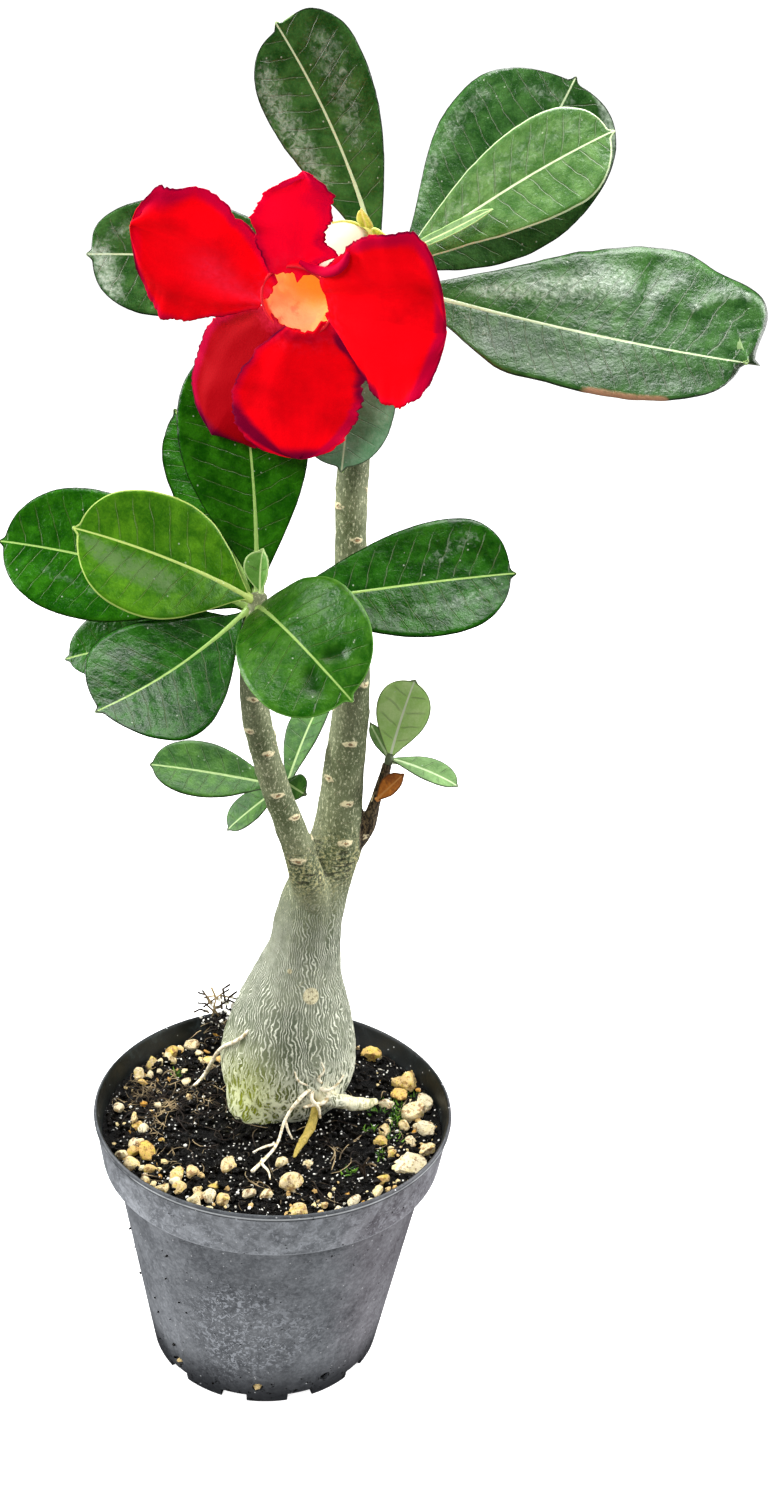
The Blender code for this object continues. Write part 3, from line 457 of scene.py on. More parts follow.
class Finish:
    """A surface finish, built on one shader, whose colour is laid on in layers."""

    def __init__(self, name):
        self.material = bpy.data.materials.new(name)
        self.material.use_nodes = True
        self.tree = self.material.node_tree
        self.shader = self.tree.nodes["Principled BSDF"]
        self.place = self.node("ShaderNodeTexCoord").outputs["Object"]
        self.colour = None

    def node(self, kind, settings=None, inputs=None):
        """Any node: its settings are set first, then the values or links of its sockets."""
        made = self.tree.nodes.new(kind)
        for key, value in (settings or {}).items():
            setattr(made, key, value)
        for key, value in (inputs or {}).items():
            self.feed(made.inputs[key], value)
        return made

    def feed(self, socket, value):
        """Give a socket a number, a colour or a link."""
        if isinstance(value, Value):
            value = value.socket
        if isinstance(value, bpy.types.NodeSocket):
            self.tree.links.new(value, socket)
        else:
            socket.default_value = value

    def maths(self, operation, *values):
        """A sum of values and numbers."""
        node = self.node("ShaderNodeMath", {"operation": operation}, dict(enumerate(values)))
        return Value(self, node.outputs[0])

    def length(self, first, second):
        """How long the slope of a corner with these two sides is."""
        return self.maths("SQRT", first * first + second * second)

    def blend(self, share, first, second):
        """One colour going over to another as share goes from 0 to 1."""
        node = self.node("ShaderNodeMix", {"data_type": "RGBA"}, {0: share, 6: first, 7: second})
        return node.outputs[2]

    def base(self, share, first, second):
        """Start the surface's colour with a blend of two."""
        self.colour = self.blend(share, first, second)

    def layer(self, share, colour):
        """Lay a colour over the surface as far as share goes from 0 to 1."""
        self.colour = self.blend(share, self.colour, colour)

    def spaced(self, size, stretch=(1.0, 1.0, 1.0), source=None):
        """Places on the piece, counted in steps of one size in millimetres."""
        scale = tuple(s / (size * MM) for s in stretch)
        source = self.place if source is None else source
        return self.node("ShaderNodeMapping", None, {"Vector": source, "Scale": scale}).outputs[0]

    def bent(self, amount, size):
        """Places on the piece, pushed about by clouds of one size, in millimetres."""
        inputs = {"Vector": self.spaced(size), "Scale": 1.0, "Detail": 2.0}
        push = self.node("ShaderNodeTexNoise", None, inputs).outputs["Color"]
        for operation, socket, value in (
            ("SUBTRACT", 1, (0.5, 0.5, 0.5)), ("SCALE", "Scale", amount * MM * 2),
            ("ADD", 1, self.place),
        ):
            inputs = {0: push, socket: value}
            push = self.node("ShaderNodeVectorMath", {"operation": operation}, inputs).outputs[0]
        return push

    def noise(self, size, detail=2.0, roughness=0.5, distortion=0.0, stretch=(1.0, 1.0, 1.0)):
        """Soft clouds with patches of about one size, in millimetres."""
        inputs = {
            "Vector": self.spaced(size, stretch), "Scale": 1.0,
            "Detail": detail, "Roughness": roughness, "Distortion": distortion,
        }
        return Value(self, self.node("ShaderNodeTexNoise", None, inputs).outputs[0])

    def net(self, size, stretch, source):
        """Distance from the threads of an uneven net with meshes of one size, in millimetres."""
        inputs = {"Vector": self.spaced(size, stretch, source), "Scale": 1.0}
        node = self.node("ShaderNodeTexVoronoi", {"feature": "DISTANCE_TO_EDGE"}, inputs)
        return Value(self, node.outputs["Distance"])

    def specks(self, size, outer, inner, rare, sure):
        """Round specks in the middles of grains of one size, in millimetres; only some are kept."""
        inputs = {"Vector": self.spaced(size), "Scale": 1.0}
        node = self.node("ShaderNodeTexVoronoi", None, inputs)
        lot = self.node("ShaderNodeSeparateColor", None, {0: node.outputs["Color"]}).outputs[0]
        apart = Value(self, node.outputs["Distance"])
        return apart.fade(outer, inner) * Value(self, lot).fade(rare, sure)

    def attribute(self, name):
        """The three numbers that a piece keeps at each of its points."""
        node = self.node("ShaderNodeAttribute", {"attribute_name": name})
        split = self.node("ShaderNodeSeparateXYZ", None, {0: node.outputs["Vector"]})
        return [Value(self, output) for output in split.outputs]

    def along_axes(self):
        """The place on the piece as three numbers, in millimetres."""
        split = self.node("ShaderNodeSeparateXYZ", None, {0: self.place})
        return [Value(self, output) / MM for output in split.outputs]

    def surface(self, roughness, height=None, depth=0.2, glow=0.0):
        """Give the shader its colour, roughness, relief of a depth in millimetres, and glow."""
        self.feed(self.shader.inputs["Base Color"], self.colour)
        self.feed(self.shader.inputs["Roughness"], roughness)
        if height is not None:
            bump = self.node("ShaderNodeBump", None, {"Height": height, "Distance": depth * MM})
            self.feed(self.shader.inputs["Normal"], bump.outputs[0])
        if glow:
            self.feed(self.shader.inputs["Emission Color"], self.colour)
            self.fixed(Emission_Strength=glow)
        return self.material

    def fixed(self, **values):
        """Set values that are the same all over on the shader's own sockets."""
        for name, value in values.items():
            self.shader.inputs[name.replace("_", " ")].default_value = value


def rgb(*screen):
    """A colour's red, green and blue on a screen, from 0 to 255, as the shader's own numbers."""
    light = [c / 255 / 12.92 if c <= 10 else ((c / 255 + 0.055) / 1.055) ** 2.4 for c in screen]
    return (*light, 1.0)


def deselect():
    """Leave nothing selected."""
    if bpy.context.mode != "OBJECT":
        bpy.ops.object.mode_set(mode="OBJECT")
    bpy.ops.object.select_all(action="DESELECT")


def choose(piece):
    """Select one piece alone and make it the active one."""
    deselect()
    piece.select_set(True)
    bpy.context.view_layer.objects.active = piece


def apply_modifier(piece, kind, **settings):
    """Add a modifier with its settings and apply it."""
    choose(piece)
    bpy.ops.object.modifier_add(type=kind)
    modifier = piece.modifiers[-1]
    for key, value in settings.items():
        setattr(modifier, key, value)
    bpy.ops.object.modifier_apply(modifier=modifier.name)


def set_at_origin(piece):
    """Put the object at the origin, unturned and unscaled, with its place kept in its mesh."""
    choose(piece)
    bpy.ops.object.transform_apply(location=True, rotation=True, scale=True)


def join_pieces(pieces, name):
    """Join pieces into the first and name it."""
    deselect()
    for piece in pieces:
        piece.select_set(True)
    bpy.context.view_layer.objects.active = pieces[0]
    if len(pieces) > 1:
        bpy.ops.object.join()
    joined = bpy.context.view_layer.objects.active
    joined.name = name
    joined.data.name = name
    return joined


def hand_over(piece, name, slot, *nodes):
    """Name a finished piece, set it at the origin, hang it on the root body and hide the parts of
    the nodes it stands for.
    """
    piece.name = name
    set_at_origin(piece)
    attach(piece, "root")
    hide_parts(*nodes)


def add_object(name, data):
    """A new object of the scene that shows a mesh, a curve, a light or a camera."""
    made = bpy.data.objects.new(name, data)
    bpy.context.scene.collection.objects.link(made)
    return made


def from_faces(bm, name, finish):
    """A piece of the soil from worked faces."""
    mesh = bpy.data.meshes.new(name)
    bm.to_mesh(mesh)
    bm.free()
    piece = add_object(name, mesh)
    paint(piece, finish)
    hand_over(piece, name, "soil", "soil")


def paint(piece, *finishes):
    """Give a piece these finishes and no others."""
    piece.data.materials.clear()
    for finish in finishes:
        piece.data.materials.append(finish)


def mark_points(piece, name, threes):
    """Keep three numbers at each of a piece's points, for its finish."""
    layer = piece.data.attributes.new(name, "FLOAT_VECTOR", "POINT")
    for entry, three in zip(layer.data, threes):
        entry.vector = three


def face_outward(piece, weld=0.0):
    """Turn a piece's faces outward, with points that lie within weld of each other made one."""
    choose(piece)
    bpy.ops.object.mode_set(mode="EDIT")
    bpy.ops.mesh.select_all(action="SELECT")
    if weld:
        bpy.ops.mesh.remove_doubles(threshold=weld)
    bpy.ops.mesh.normals_make_consistent(inside=False)
    bpy.ops.object.mode_set(mode="OBJECT")


def smooth(piece, angle=None):
    """Shade a piece smooth, with edges over an angle left sharp."""
    choose(piece)
    if angle is None:
        bpy.ops.object.shade_smooth()
    else:
        bpy.ops.object.shade_smooth_by_angle(angle=math.radians(angle))


def level_axes(direction):
    """A level direction and a rising one, both square to the given one."""
    level = direction.cross(Vector((0.0, 0.0, 1.0))).normalized()
    return level, level.cross(direction)


def blade_axes(blade):
    """Directions along, across and up from a blade at its foot."""
    heading = math.radians(blade.heading)
    rise = math.radians(blade.rise)
    roll = math.radians(blade.roll)
    reach, height = math.cos(rise), math.sin(rise)
    along = Vector((reach * math.cos(heading), reach * math.sin(heading), height))
    level_up = Vector((-height * math.cos(heading), -height * math.sin(heading), reach))
    up = level_up * math.cos(roll) + along.cross(level_up) * math.sin(roll)
    return along, along.cross(up), up


def turned_axes(axes, arch, sweep):
    """The blade's directions after it has bent down by arch and to its right by sweep."""
    along, across, up = axes
    bent = along * math.cos(arch) - up * math.sin(arch)
    lifted = up * math.cos(arch) + along * math.sin(arch)
    turned_along = bent * math.cos(sweep) + across * math.sin(sweep)
    return turned_along, across * math.cos(sweep) - bent * math.sin(sweep), lifted


def midrib(blade, places):
    """Points and directions along a blade's midrib at places from 0 at its foot to 1 at its tip."""
    start = blade_axes(blade)
    arch = math.radians(blade.arch)
    sweep = math.radians(blade.sweep)
    point = blade.foot.copy()
    stations = []
    last = None
    for place in places:
        axes = turned_axes(start, arch * place, sweep * place)
        if last is not None:
            point = point + (last[1][0] + axes[0]) * 0.5 * (place - last[0]) * blade.length
        stations.append((point.copy(), axes))
        last = (place, axes)
    return stations


def half_of(blade, side):
    """One side of a blade: its greatest half-width, where that is, and its shoulder's overrun."""
    index = 0 if side < 0 else 1
    return (blade.left, blade.right)[index], blade.widest[index], blade.overrun[index]


def blade_width(blade, side, place):
    """Half-width of one side of a blade, and how far its shoulder runs forward there."""
    full, widest, overrun = half_of(blade, side)
    if place < widest:
        swell = math.sin(math.pi / 2 * place / widest) ** blade.taper
        width = blade.foot_half + (full - blade.foot_half) * swell
        near_tip = 0.0
    else:
        near_tip = min(1.0, (place - widest) / (1.0 - widest))
        width = full * math.sqrt(max(0.0, 1.0 - near_tip**blade.blunt))
    for corner_side, corner_place, extra, spread in blade.corners:
        if corner_side == side:
            fade = min(1.0, math.sqrt(4.0 * (1.0 - place)))
            width += extra * math.exp(-(((place - corner_place) / spread) ** 2)) * fade
    share = min(1.0, width / full)
    forward = blade.length * overrun * 4.0 * share * (1.0 - share) * near_tip**2
    return width, forward * share


def margin_distance(blade, side, place, offset, width):
    """How far a point of a blade lies inside its margin, in millimetres."""
    full, widest, _ = half_of(blade, side)
    beside = width - offset
    for corner_side, corner_place, _, spread in blade.corners:
        if corner_side == side and abs(place - corner_place) < 2.2 * spread:
            return max(0.0, beside)
    reach = max(0.0, 1.0 - (min(offset, full) / full) ** 2) ** (1.0 / blade.blunt)
    ahead = (widest + (1.0 - widest) * reach - place) * blade.length
    return max(0.0, min(beside, ahead))


def clouds(x, y, z=0.0):
    """Soft random heights between about -1 and 1."""
    return noise.noise(Vector((x, y, z)))


def laid_out(blade, share, place):
    """A place of a blade on its flat pattern, in millimetres."""
    return Vector((share * (blade.left if share < 0 else blade.right), place * blade.length))


def near_dent(blade, dent, share, place):
    """How near a place of a blade is to a dent: 1 on it and 0 far off."""
    start = laid_out(blade, *dent.start)
    way = laid_out(blade, *dent.end) - start
    spot = laid_out(blade, share, place) - start
    step = max(0.0, min(1.0, spot.dot(way) / way.length_squared))
    return math.exp(-(((spot - way * step).length / dent.half) ** 2))


def worked_lift(blade, relief, seed, spot):
    """How far a place of a blade stands up by its cup, its waves and ripples, and its veins."""
    side, share, place, width, outer = spot
    travelled = place * blade.length
    offset = share * width
    inside = min(1.0, offset / 8.0)
    lift = blade.cup * width * share**SECTION_CURVE
    lift += blade.wave * share**2 * place * math.sin(math.tau * LOBE_WAVES * place + side)
    lift += relief.ripple * inside * clouds(travelled / 13.0, side * offset / 9.0, seed)
    lift += relief.ruffle * outer * clouds(travelled / 4.0, side, seed)
    lift -= relief.groove * math.exp(-((offset / 0.8) ** 2)) * (1.0 - place)
    phase = (travelled - relief.vein_lean * offset) / relief.vein_step
    pillow = abs(math.sin(math.pi * phase)) - 0.5
    return lift + relief.quilt * pillow * min(1.0, offset / 3.0) * (1 - share)


def shaped_blade(blade, relief, seed, upper, under):
    """A fine blade of the solid one's form, with veins, ripples, dents and a worked margin."""
    rows = relief.rows
    deselect()
    bpy.ops.mesh.primitive_grid_add(x_subdivisions=rows, y_subdivisions=relief.columns, size=2.0)
    piece = bpy.context.object
    piece.name = blade.name
    paint(piece, upper, under)
    bm = bmesh.new()
    bm.from_mesh(piece.data)
    sizes = bm.verts.layers.float_vector.new("blade")
    shares = bm.verts.layers.float_vector.new("blade_share")
    marks = bm.verts.layers.float_vector.new("blade_mark")
    places = [math.sin(math.pi / 2 * row / rows) ** 1.2 for row in range(rows + 1)]
    stations = midrib(blade, places)
    for vertex in bm.verts:
        row = round((vertex.co.x + 1.0) / 2.0 * rows)
        place = places[row]
        side = 1 if vertex.co.y < 0 else -1
        share = abs(vertex.co.y) ** 1.25
        width, forward = blade_width(blade, side, place)
        point, (along, across, up) = stations[row]
        travelled = place * blade.length
        outer = share**3 * min(1.0, 4.0 * place)
        for ragged, often in ((1.0, 0.9), (0.7, 2.7), (1.6, 0.25)):
            width += relief.ragged * ragged * outer * clouds(travelled * often, side * 3.0, seed)
        offset = share * width
        lift = worked_lift(blade, relief, seed, (side, share, place, width, outer))
        if relief is PETAL_RELIEF:
            inward = 0.2 + 0.5 * clouds(side * offset / 1.4, seed)
            inward += 0.3 * clouds(side * offset / 0.6, seed)
            forward -= inward * max(0.0, 1.0 - place / 0.06)
            fold = side * share * 7.0 + 2.0 * clouds(travelled / 11.0, side * share, seed)
            lift += 0.35 * place * math.sin(fold)
        tip = relief.point * max(0.0, (place - 0.95) / 0.05) ** 2 * math.exp(-((offset / 0.8) ** 2))
        # pale and dark carry painted sheen and painted shade to the finishes; on the petals pale is
        # pink and dark is also their dark margin.
        pale = dark = stained = 0.0
        for dent in DENTS.get(blade.name, ()):
            near = near_dent(blade, dent, side * share, place)
            lift += dent.lift * near
            tip -= dent.back * near
            pale = max(pale, dent.pale * near)
            dark = max(dark, dent.dark * near)
            stained = max(stained, dent.stained * near)
        spot = point + across * (side * offset) + up * lift + along * (forward + tip)
        vertex.co = spot * MM
        inside = margin_distance(blade, side, place, offset, width)
        vertex[sizes] = (side * offset, travelled, inside)
        vertex[shares] = (side * share, place, seed)
        vertex[marks] = (pale, dark, stained)
    bmesh.ops.remove_doubles(bm, verts=bm.verts, dist=WELD)
    bm.to_mesh(piece.data)
    bm.free()
    thick = piece.vertex_groups.new(name="thick")
    for vertex, value in zip(piece.data.vertices, piece.data.attributes["blade"].data):
        inside = min(1.0, value.vector.z / 1.2)
        thick.add([vertex.index], relief.thin_edge + (1.0 - relief.thin_edge) * inside, "REPLACE")
    apply_modifier(
        piece, "SOLIDIFY", thickness=relief.thickness * MM, offset=0.0, vertex_group="thick",
        material_offset=1, use_rim=True,
    )
    return piece


def rod_curve(name, roundness, capped=True):
    """An empty curve whose lines become round rods, with their radii in millimetres."""
    curve = bpy.data.curves.new(name, "CURVE")
    curve.dimensions = "3D"
    curve.bevel_depth = MM
    curve.bevel_resolution = roundness
    curve.use_fill_caps = capped
    return curve


def rods(name, curve):
    """A curve's rods as one mesh piece."""
    choose(add_object(name, curve))
    bpy.ops.object.convert(target="MESH")
    return bpy.context.object


def tube(name, stops, roundness=8, resolution=8, capped=True):
    """A round stem through stops of x, y, z and radius, as a mesh."""
    curve = rod_curve(name, roundness, capped)
    curve.resolution_u = resolution
    spline = curve.splines.new("BEZIER")
    spline.radius_interpolation = "CARDINAL"
    spline.bezier_points.add(len(stops) - 1)
    for point, (x, y, z, radius) in zip(spline.bezier_points, stops):
        point.co = Vector((x, y, z)) * MM
        point.radius = radius
        point.handle_left_type = "AUTO"
        point.handle_right_type = "AUTO"
    piece = rods(name, curve)
    face_outward(piece, WELD)
    return piece


def leaf_stalk(blade, inward, thick, seed, finish):
    """The leaf's stalk and the rib under its blade, from the stem to near the tip."""
    places = [0.0, 0.08, 0.2, 0.4, 0.6, 0.8, 0.93]
    stations = midrib(blade, places)
    start, (along, _, up) = stations[0]
    stops = [(*(start - along * inward - up * 0.1), thick)]
    for place, (point, (_, _, lifted)) in zip(places, stations):
        radius = thick * (1.0 - place) ** 1.3 + 0.16
        stops.append((*(point - lifted * (radius * 0.55 + 0.05)), radius))
    stalk = tube(blade.name + "_stalk", stops, 3, 5)
    mark_points(stalk, "blade", repeat((0.0, 0.0, 5.0)))
    mark_points(stalk, "blade_share", repeat((0.0, 0.0, seed)))
    paint(stalk, finish)
    return stalk


def tip_leaf(tip, name, height, heading, *sizes, reach=TIP_REACH, **shape):
    """A leaf whose foot stands beside a stem's tip, on the side it heads for."""
    turn = math.radians(heading)
    foot = tip + Vector((reach * math.cos(turn), reach * math.sin(turn), height))
    return Blade(name, foot, heading, *sizes, **shape)


def small_leaf(name, foot, *sizes, **shape):
    """A small leaf with a narrow foot."""
    return Blade(name, Vector(foot), *sizes, foot_half=SMALL_FOOT, **shape)


def lobe(name, rim_angle, *sizes, **shape):
    """A petal lobe whose broad foot stands on the funnel's rim."""
    level, upright = level_axes(FACE)
    turn = math.radians(rim_angle)
    foot = THROAT + (level * math.cos(turn) + upright * math.sin(turn)) * THROAT_RADIUS
    return Blade(name, foot, *sizes, foot_half=LOBE_FOOT, taper=1.0, wave=LOBE_WAVE, **shape)


def top_leaves():
    """The six leaves round the tip of the main stem."""
    tip = TOP_TIP
    return (
        tip_leaf(tip, "leaf_top_upright", 331.5, 131, 62, -42, 59.5, 13.5, 14.8, arch=-24,
                 sweep=-18, widest=(0.71, 0.81), overrun=(0.02, 0.07), blunt=2.6),
        tip_leaf(tip, "leaf_top_back_right", 329.5, 39, 18, 52, 67, 25, 20, arch=-54, sweep=-28,
                 cup=-0.09, widest=(0.68, 0.69), overrun=(0, 0.02), blunt=2.9),
        tip_leaf(tip, "leaf_top_front_right", 330, -6, 42, 54, 59.5, 13.5, 14.5, arch=6, sweep=12,
                 cup=0.08, widest=(0.73, 0.78), reach=3.6),
        tip_leaf(tip, "leaf_top_right", 325, -22, -8, 42, 89.5, 29, 17, arch=20, sweep=-22,
                 cup=0.03, widest=(0.77, 0.57), overrun=(0.09, -0.04), blunt=2,
                 corners=((-1, 0.97, 6, 0.04), (1, 0.34, 2.5, 0.1))),
        tip_leaf(tip, "leaf_top_hanging", 327, -132, -75, -43, 47, 11.5, 14, arch=-2, sweep=-7,
                 widest=(0.63, 0.63), overrun=(0, 0.02), blunt=2.4, taper=1.5, reach=4.2),
        tip_leaf(tip, "leaf_top_left", 327.5, -179, 5, -69, 70, 15.5, 14, arch=3, sweep=-8,
                 widest=(0.74, 0.7), overrun=(0.02, 0.05), taper=2),
    )


def side_leaves():
    """The eight leaves round the tip of the branch."""
    tip = SIDE_TIP
    return (
        tip_leaf(tip, "leaf_side_upright", 249, 100, 74, -12, 64.5, 18, 15.5, arch=-4, sweep=-10,
                 widest=(0.62, 0.63), overrun=(-0.03, 0)),
        tip_leaf(tip, "leaf_side_back", 246.5, 125, 49, -11, 54, 10.5, 13, arch=-6, sweep=-9,
                 widest=(0.62, 0.66), overrun=(-0.06, 0), blunt=2.1),
        tip_leaf(tip, "leaf_side_far_left", 245.5, 167, 15, -59, 67, 17, 17.5, arch=4, sweep=-14,
                 widest=(0.63, 0.65)),
        tip_leaf(tip, "leaf_side_bright", 249, -137, 33, -86, 48, 16, 14.5, arch=43, sweep=-10,
                 cup=0.18, widest=(0.61, 0.57), overrun=(-0.02, 0), blunt=2.4),
        tip_leaf(tip, "leaf_side_low_front", 244, -157, -42, -33, 45.5, 21.5, 18.5, arch=-36,
                 sweep=-1, cup=0.14, widest=(0.67, 0.68), overrun=(-0.02, 0), blunt=2.1, reach=3.7),
        tip_leaf(tip, "leaf_side_low_back", 241.5, 163, -19, -59, 53, 8.5, 11, arch=-1, sweep=-4,
                 cup=0.14, widest=(0.61, 0.63), overrun=(0, 0.02), taper=1.5, reach=4.1),
        tip_leaf(tip, "leaf_side_front", 246.5, -81, 20, 41, 49.5, 17.5, 16.5, arch=79, cup=0.14,
                 widest=(0.58, 0.71), overrun=(0, 0.02), blunt=2.5),
        tip_leaf(tip, "leaf_side_right", 246, 1, 14, 44, 62, 17, 16.5, arch=3, sweep=4,
                 widest=(0.77, 0.69), overrun=(0.02, 0), blunt=2.4),
    )


def shoot_leaves():
    """The four small leaves of the side shoot."""
    return (
        small_leaf("shoot_leaf_long", (-3, 5.6, 186.6), -172, 13, -39, 35.5, 8.5, 9, arch=1,
                   sweep=-6, widest=(0.63, 0.62)),
        small_leaf("shoot_leaf_low", (-2.6, 6.2, 185.2), -165, -36, -21, 18, 5, 6, arch=7,
                   sweep=-4, cup=0.15, widest=(0.56, 0.58)),
        small_leaf("shoot_leaf_back", (-0.2, 6.2, 186.4), 72, 47, -12, 33, 6.5, 5, arch=12,
                   sweep=5, cup=0.15, widest=(0.58, 0.60)),
        small_leaf("shoot_leaf_folded", (-0.8, 5.6, 188), -15, -25, 70, 6.5, 4.5, 3.5, cup=0.2,
                   widest=(0.5, 0.5)),
    )


def twig_leaves():
    """The three small leaves at the end of the dark twig."""
    return (
        small_leaf("twig_leaf_upright", (28.4, 16, 192.8), -6, 80, 84, 24.5, 8, 7.5, sweep=6,
                   cup=0.11, widest=(0.65, 0.65)),
        small_leaf("twig_leaf_right", (29, 16, 192.4), -23, -1, 27, 20.5, 4.5, 3.5, arch=15,
                   sweep=8, cup=0.16, widest=(0.61, 0.60)),
        small_leaf("twig_leaf_back", (27.9, 16.5, 192.9), 141, 48, -69, 10.5, 2, 2,
                   widest=(0.6, 0.6)),
    )


def single_leaves():
    """The young leaf in the branch's rosette, the narrow one in the top one, and the dried one."""
    return (
        small_leaf("young_leaf_side", (-7.6, -14.2, 249.9), -155, 86, -139, 10.5, 4, 3, arch=10,
                   sweep=7, cup=0.5, widest=(0.61, 0.60)),
        small_leaf("young_leaf_top", (21.2, 6.4, 332.4), -21, 25, 35, 28, 2.5, 3, arch=-6,
                   sweep=-2, cup=0.2, widest=(0.60, 0.59)),
        small_leaf("dried_leaf", (25.7, 13.5, 181), -18, 51, 72, 11, 3, 2.5, cup=0.35,
                   widest=(0.55, 0.55)),
    )


def lobes():
    """The five petal lobes of the flower."""
    return (
        lobe("petal_left", 3, -176, 33, -123, 35, 24, 15.5, arch=-1, sweep=-19, cup=-0.09,
             widest=(0.61, 0.58), overrun=(-0.07, -0.04), blunt=1.9, corners=((1, 0.9, 3, 0.06),)),
        lobe("petal_top", 84, -76, 60, -179, 24, 10.5, 7, arch=10, sweep=-1, cup=0.14,
             widest=(0.56, 0.61), overrun=(-0.03, -0.02), blunt=2,
             corners=((1, 0.78, 2, 0.08), (1, 0.19, 4, 0.07))),
        lobe("petal_right", 171, -54, -7, 115, 33, 25, 20.5, arch=43, sweep=18, cup=0.14,
             widest=(0.74, 0.60), overrun=(-0.05, 0), blunt=2.2,
             corners=((-1, 0.32, -1.8, 0.16), (1, 0.32, 2, 0.2))),
        lobe("petal_bottom", -103, 100, -60, -170, 32.5, 14.5, 17, arch=-33, sweep=-7, cup=-0.18,
             widest=(0.54, 0.61), corners=((-1, 0.24, 3.8, 0.15),)),
        lobe("petal_low_left", -45, 131, -51, -98, 38.5, 14.5, 17.5, arch=-7, sweep=-5, cup=-0.05,
             widest=(0.60, 0.53), overrun=(0, 0.03), blunt=2.2),
    )


def vein_stripes(finish, side, along, waver):
    """Stripes in step with a leaf's side veins, 0 on each of them."""
    leaning = (along - side * LEAF_RELIEF.vein_lean) / LEAF_RELIEF.vein_step
    return (leaning + finish.noise(9.0) * waver).stripes()


def leaf_finish(name, deep, fresh, rib, edge, shine, painted_sheen=(190, 205, 186), mirror=0.4):
    """A leaf's glossy upper face, with a pale rib, faint veins, painted shade, a painted sheen,
    dust and its margin.
    """
    finish = Finish(name)
    across, along, inside = finish.attribute("blade")
    share, place, _ = finish.attribute("blade_share")
    pale, dark, stained = finish.attribute("blade_mark")
    side = abs(across)
    rib_half = 0.38 - 0.26 * place
    stripes = vein_stripes(finish, side, along, 0.6)
    reach = abs(share).fade(0.98, 0.6) * side.fade(0.2, 1.5)
    veins = stripes.fade(0.04, 0.01) * reach
    mottle = finish.noise(5.0, 4.0, 0.6, 0.3)
    fine = finish.noise(0.6, 3.0, 0.7)
    streaks = finish.noise(1.5, 4.0, 0.7, 0.8)
    painted_shade_green = tuple(c * 0.6 for c in deep[:3]) + (1.0,)
    finish.base(mottle.fade(0.35, 0.7) * 0.6 + fine.fade(0.4, 0.7) * 0.25, deep, fresh)
    # Painted shade: a darker green beside the veins' grooves. The same green is laid where the
    # dents are dark, which in the front side leaf's dimples is painted shade.
    finish.layer(stripes.fade(0.14, 0.0) * reach * 0.35 + dark, painted_shade_green)
    finish.layer(veins * 0.12, rib)
    finish.layer(side.fade(rib_half + 0.2, rib_half) * 0.85, rib)
    # Painted sheen: pale streaks where the dents are pale.
    finish.layer((pale * streaks).fade(0.14, 0.42) * 0.8, rgb(*painted_sheen))
    finish.layer(finish.specks(1.8, 0.16, 0.08, 0.82, 0.9) * 0.35, rgb(225, 232, 215))
    finish.layer(inside.fade(0.4, 0.2) * 0.8, edge)
    finish.layer((stained * (streaks + 0.5)).fade(0.3, 0.8), rgb(150, 112, 84))
    finish.fixed(Specular_IOR_Level=mirror)
    height = finish.noise(2.0, 2.0, 0.5, 0.2) * 0.6 + fine * 0.25 + streaks * 0.2 - veins * 0.5
    return finish.surface(shine + mottle * 0.2, height, 0.4)


def underleaf_finish(name, green, rib):
    """The matt, paler underside of a leaf."""
    finish = Finish(name)
    across, along, _ = finish.attribute("blade")
    share, _, _ = finish.attribute("blade_share")
    side = abs(across)
    veins = vein_stripes(finish, side, along, 0.5).fade(0.07, 0.02) * abs(share).fade(0.95, 0.5)
    mottle = finish.noise(2.0, 3.0)
    finish.base(mottle, (green[0] * 0.7, green[1] * 0.72, green[2] * 0.7, 1.0), green)
    finish.layer(veins * 0.3 + side.fade(0.9, 0.5) * 0.6, rib)
    return finish.surface(0.55 + mottle * 0.1, mottle * 0.6 + veins * 0.5, 0.2)


def petal_finish(name, red, deep, edge, streak):
    """A velvety petal with folds of deeper red, a dark uneven edge, pink at the throat, painted
    shade and a painted glow.
    """
    finish = Finish(name)
    _, along, inside = finish.attribute("blade")
    share, place, seed = finish.attribute("blade_share")
    pale, dark, stained = finish.attribute("blade_mark")
    patches = finish.noise(11.0, 3.0, 0.5)
    streaks = finish.noise(1.6, 3.0, 0.6, 0.6)
    fan = (share * 7.0 + finish.noise(8.0) * 1.2).stripes().fade(0.5, 0.1)
    # The petals' seeds are 50 to 54, in the order of lobes().
    top_petal = seed.fade(50.4, 50.6) * seed.fade(51.6, 51.4)
    # Painted shade: the lower-left petal is painted darker all over, and the bottom one a little.
    shaded_petals = seed.fade(53.4, 53.6) + seed.fade(52.4, 52.6) * 0.12
    finish.base(patches.fade(0.4, 0.8) * 0.42 + fan * place * 0.06 + shaded_petals, red, deep)
    finish.layer(top_petal * 0.8, rgb(250, 0, 44))
    crimson = stained + inside.fade(4.4, 0.4) * 0.55 + patches * 0.5 - 0.25
    finish.layer(crimson.fade(0.2, 1.0) * 0.8, rgb(176, 0, 52))
    pink = pale * (streaks.fade(0.2, 0.8) * 0.5 + 0.3)
    pink = pink + along.fade(7.0, 1.0) * streaks.fade(0.4, 0.7) * 0.3
    finish.layer(pink * 0.55, streak)
    # The dark dents lay the edge colour: dark margins, and painted shadow where the lobes lie under
    # the throat and under each other.
    finish.layer((dark + (patches - 0.5) * 0.5).fade(0.25, 0.9) * 0.85, edge)
    finish.layer(inside.fade(0.7, 0.1) * patches.fade(0.35, 0.6) * 0.8, edge)
    finish.fixed(Specular_IOR_Level=0.03)
    fine = finish.noise(0.5, 2.0)
    height = finish.noise(2.6, 3.0) * 0.5 + fine * 0.2
    # A painted glow: the petal gives off its own colour as light.
    return finish.surface(0.62 + fine * 0.1, height, 0.25, glow=0.1)


